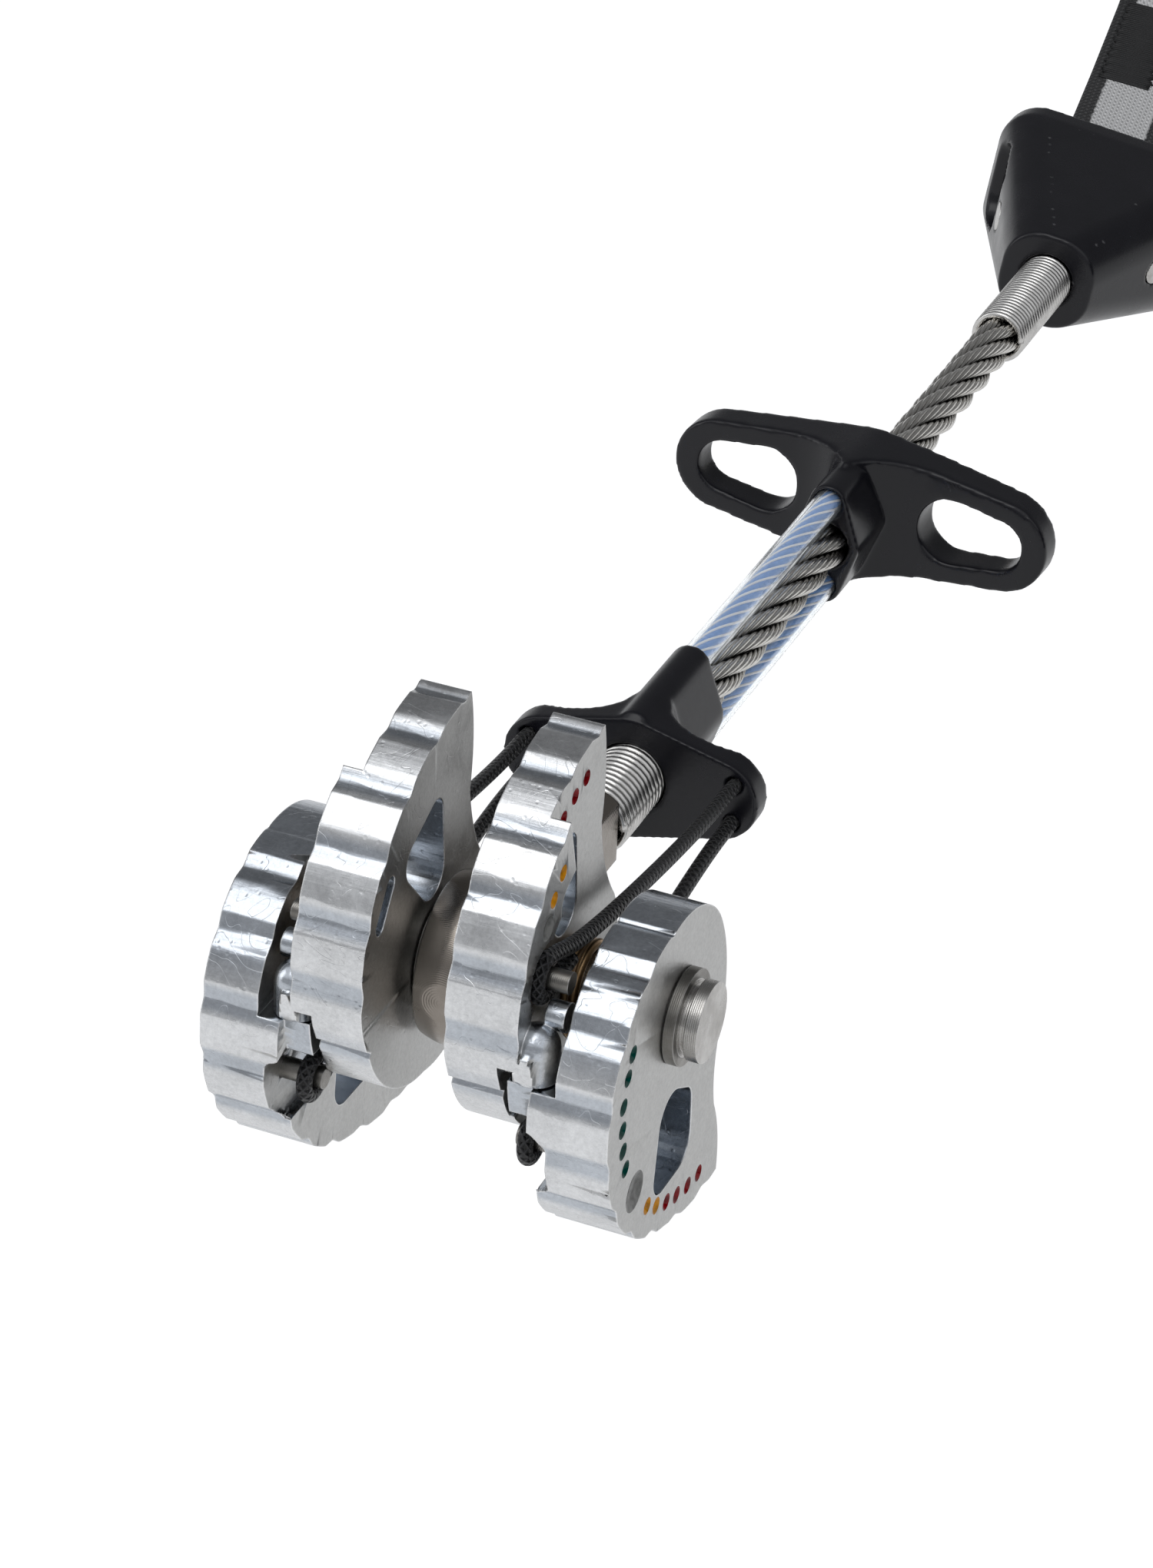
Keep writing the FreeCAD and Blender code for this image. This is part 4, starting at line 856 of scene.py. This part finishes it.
def cord_chart(piece, rings, step):
    """UV of a tube: u grows by a step with each ring, and v goes from 0 to 1 round the cord.

    In the quads that close a ring v ends at 1 instead of 0.
    """
    loops = np.empty(len(piece.data.loops), int)
    piece.data.loops.foreach_get("vertex_index", loops)
    u, v = (loops // CORD_SIDES) * step, (loops % CORD_SIDES) / CORD_SIDES
    corners = (rings - 1) * CORD_SIDES * 4
    quads = v[:corners].reshape(-1, 4)
    wraps = quads.max(1) - quads.min(1) > 0.5
    quads[wraps] += quads[wraps] < 0.5
    v[:corners] = quads.ravel()
    chart = piece.data.uv_layers.new(name="UVMap")
    chart.data.foreach_set("uv", np.stack([u, v], -1).ravel())


# y and z of each control point in metres, from the yoke to the cord's end past its pin
ROUTES = {
    "inner": [(0.0347, 3e-05), (0.0347, 0.00183), (0.023, 0.00183), (-0.00138, 0.00533),
              (-0.00879, 0.00816), (-0.00995, 0.00774), (-0.01054, 0.00665),
              (-0.01028, 0.00544), (-0.00929, 0.00471), (-0.00377, 0.00514)],
    "outer": [(0.0347, -3e-05), (0.0347, -0.00183), (0.023, -0.00183), (-0.00242, -0.00646),
              (-0.00972, -0.00956), (-0.0109, -0.00918), (-0.01153, -0.00812),
              (-0.01131, -0.0069), (-0.01035, -0.00613), (-0.00482, -0.00636)]}
braided = braid_black()
for kind, points in ROUTES.items():
    for hand, way in SIDES.items():
        line, long = cord_route("route", way * CORD_AT, points)
        piece = mesh_of("pull_cord_%s_%s" % (kind, hand),
                        [tube(line / MM, CORD_HALF, CORD_SIDES)], braided,
                        "trigger_set", ["cord_%s_%s" % (kind, hand)])
        cord_chart(piece, len(line), long / MM / (len(line) - 1) / BRAID)

# ---------------------------------------------------------------- sling
# A loop of flat woven webbing, white with a black band along each edge, held on the thumb
# piece's pin and stitched together behind it with dense black and white bar tacks.
WEB_HALF_WIDE, WEB_HALF_THICK = 5.25, 0.745
BOW_AT = 0.76           # from the slim bow's middle to the middle of either layer
RIB = 0.85              # from one rib of the weave to the next


def loop_profile():
    """The webbing's middle line in its own plane (y, z), in millimetres, and its length.

    Arcs round the pin, the slim bow and the far end are joined by straight lines; the whole is
    closed, made even by arc length and averaged over about two millimetres, and over about
    twenty-five along the bow.
    """
    def arc(y, radius, first, last, count):
        a = np.radians(np.linspace(first, last, count))
        return np.stack([y + radius * np.cos(a), radius * np.sin(a)], -1)

    top = np.concatenate([arc(0, 3.13, 180, 86, 40), [(33.0, BOW_AT), (49.0, BOW_AT)],
                          arc(83.5, 5.75, 98.0, 87.0, 12), arc(113.0, 4.25, 86.0, 0, 30)])
    under = top[::-1][1:-1] * (1, -1)
    line = np.concatenate([top, under, top[:1]])
    reach = lengths(line)
    line = points_at(line, reach, np.linspace(0, reach[-1], 900, endpoint=False))

    def averaged(half):
        weight = np.hanning(2 * half + 1) / np.hanning(2 * half + 1).sum()
        wrapped = np.concatenate([line[-half:], line, line[:half]])
        return np.stack([np.convolve(column, weight, "valid") for column in wrapped.T], -1)

    close, soft = averaged(4), averaged(45)
    share = np.interp(close[:, 0], [50, 60, 98, 106], [0, 1, 1, 0])[:, None]
    return close + share * (soft - close), reach[-1]


def webbing(line, long):
    """A closed ribbon: at each step of the line a flat section with rounded edges.

    In the section x is the half width times the cosine to the power 1/2.2, and the height is
    the half thickness times the sine to the power 1/3, both with their signs kept. The height
    falls by up to 7 percent in a sine along the line. UV holds millimetres along the line and
    across the webbing.
    """
    steps, sides = len(line), 44
    along = np.roll(line, -1, 0) - np.roll(line, 1, 0)
    along /= np.linalg.norm(along, axis=1)[:, None]
    out = np.stack([-along[:, 1], along[:, 0]], -1)
    a = np.linspace(0, 2 * np.pi, sides, endpoint=False)
    wide = WEB_HALF_WIDE * np.sign(np.cos(a)) * np.abs(np.cos(a)) ** (1 / 2.2)
    thick = WEB_HALF_THICK * np.sign(np.sin(a)) * np.abs(np.sin(a)) ** (1 / 3.0)
    s = np.arange(steps) * long / steps
    rib = 1 - 0.035 * (1 + np.sin(2 * np.pi * s / (long / round(long / RIB))))
    x = np.broadcast_to(wide, (steps, sides))
    offset = thick[None, :] * rib[:, None]
    yz = line[:, None, :] + offset[:, :, None] * out[:, None, :]
    points = np.concatenate([x[:, :, None], yz], -1).reshape(-1, 3)
    i, k = np.meshgrid(np.arange(steps), np.arange(sides), indexing="ij")
    j, n = (i + 1) % steps, (k + 1) % sides
    quads = np.stack([i * sides + k, i * sides + n, j * sides + n, j * sides + k], -1)
    u = np.stack([s[i], s[i], s[i] + long / steps, s[i] + long / steps], -1)
    v = np.stack([wide[k], wide[n], wide[n], wide[k]], -1)
    return points, quads.reshape(-1, 4), np.stack([u, v], -1).reshape(-1, 2)


def woven_white():
    """White webbing with black edge bands: ribs across and a fine twill along, from UV in mm."""
    finish, tree, shader = new_material("white_webbing")
    chart = add_node(tree, "UVMap", uv_map="UVMap").outputs[0]
    spot = add_node(tree, "SeparateXYZ", {0: chart}).outputs
    ribs = wave(tree, maths(tree, "MULTIPLY_ADD", spot["Y"], 0.55, spot["X"]), RIB)
    cloth = maths(tree, "MULTIPLY", ribs, wave(tree, spot["Y"], 0.52))
    height = maths(tree, "MULTIPLY_ADD", ribs, 0.6, cloth)
    away = maths(tree, "ABSOLUTE", spot["Y"])
    frayed = maths(tree, "MULTIPLY_ADD", noise(tree, chart, 1.6, 3.0), 0.5, away)
    # painted shade: the weave's hollows darker, its ribs lighter
    tone = mixed(tree, spread(tree, frayed, 3.35, 3.6), spread(tree, height, -1.4, 1.2, 0.38, 0.78),
                 (0.012, 0.012, 0.013, 1))
    tree.links.new(tone, shader.inputs["Base Color"])
    shader.inputs["Roughness"].default_value = 0.7
    shader.inputs["Sheen Weight"].default_value = 0.12
    raised(tree, shader, height, 0.6, 0.00014)
    return finish


def thread_finish(name, tint):
    """Waxed sewing thread: half matt, with fine painted highlights in specks where its twist
    catches the light.
    """
    finish, tree, shader = new_material(name)
    twist = noise(tree, add_node(tree, "TexCoord").outputs["Object"], 2600.0, 2.0)
    tone = mixed(tree, twist, (*(c * 0.6 for c in tint), 1), (*tint, 1))
    tree.links.new(tone, shader.inputs["Base Color"])
    shader.inputs["Roughness"].default_value = 0.55
    raised(tree, shader, twist, 0.4, 0.00008)
    return finish


LOOP_AT, LOOP_TURN = 158.3, 8       # the pin's place along the stem, and degrees on each axis
swung = Matrix.Identity(3)
for axis in "YZX":
    swung = swung @ Matrix.Rotation(math.radians(LOOP_TURN), 3, axis)
swung = np.array(swung)


def placed(spots):
    """From the webbing's own plane to the object: turned with the thumb piece, then to its pin."""
    return spots @ swung.T + (0, LOOP_AT, 0)


line, long = loop_profile()
points, quads, chart = webbing(line, long)
sling = mesh_of("webbing_loop", [(placed(points), quads)], woven_white(), "stem",
                ["sling"])
sling.data.uv_layers.new(name="UVMap").data.foreach_set("uv", chart.ravel())
THREAD, ARCH, CLEAR = 0.15, 0.12, 0.02      # half a thread's thickness, its arch and its gap
STITCH = 0.21           # from one pass of the thread to the next


def bar_tack(first, last, half, pitch, side):
    """One zigzag thread over the webbing: x swings to +-half and y moves on by a pitch each time.

    Between two turns x follows a cosine, and the height an arch of 0.12 mm that starts 0.02 mm
    over the webbing's face; the turns wander by 0.12 x half x sin(2.4 x pass).
    """
    count = int((last - first) / pitch)
    t = np.arange(count * 8 + 1) / 8
    x = half * (1 + 0.12 * np.sin(2.4 * np.floor(t))) * np.cos(np.pi * t)
    height = BOW_AT + WEB_HALF_THICK + ARCH * np.abs(np.sin(np.pi * t)) + CLEAR
    return tube(np.stack([x, first + pitch * t, side * height], -1), THREAD, 6)


# a thread's colour, then its bar's first and last y, the x of its middle and half its width
BARS = {"black_thread": ((0.012, 0.012, 0.013), 32.0, 50.0, -1.2, 2.8),
        "white_thread": ((0.62, 0.62, 0.61), 36.0, 50.0, 3.0, 1.0)}
for name, (tint, first, last, x, half) in BARS.items():
    parts = []
    for side in (1, -1):
        spots, faces = bar_tack(first, last, half, STITCH, side)
        parts.append((placed(spots + (x, 0, 0)), faces))
    mesh_of("sling_" + name, parts, thread_finish(name, tint), "stem")
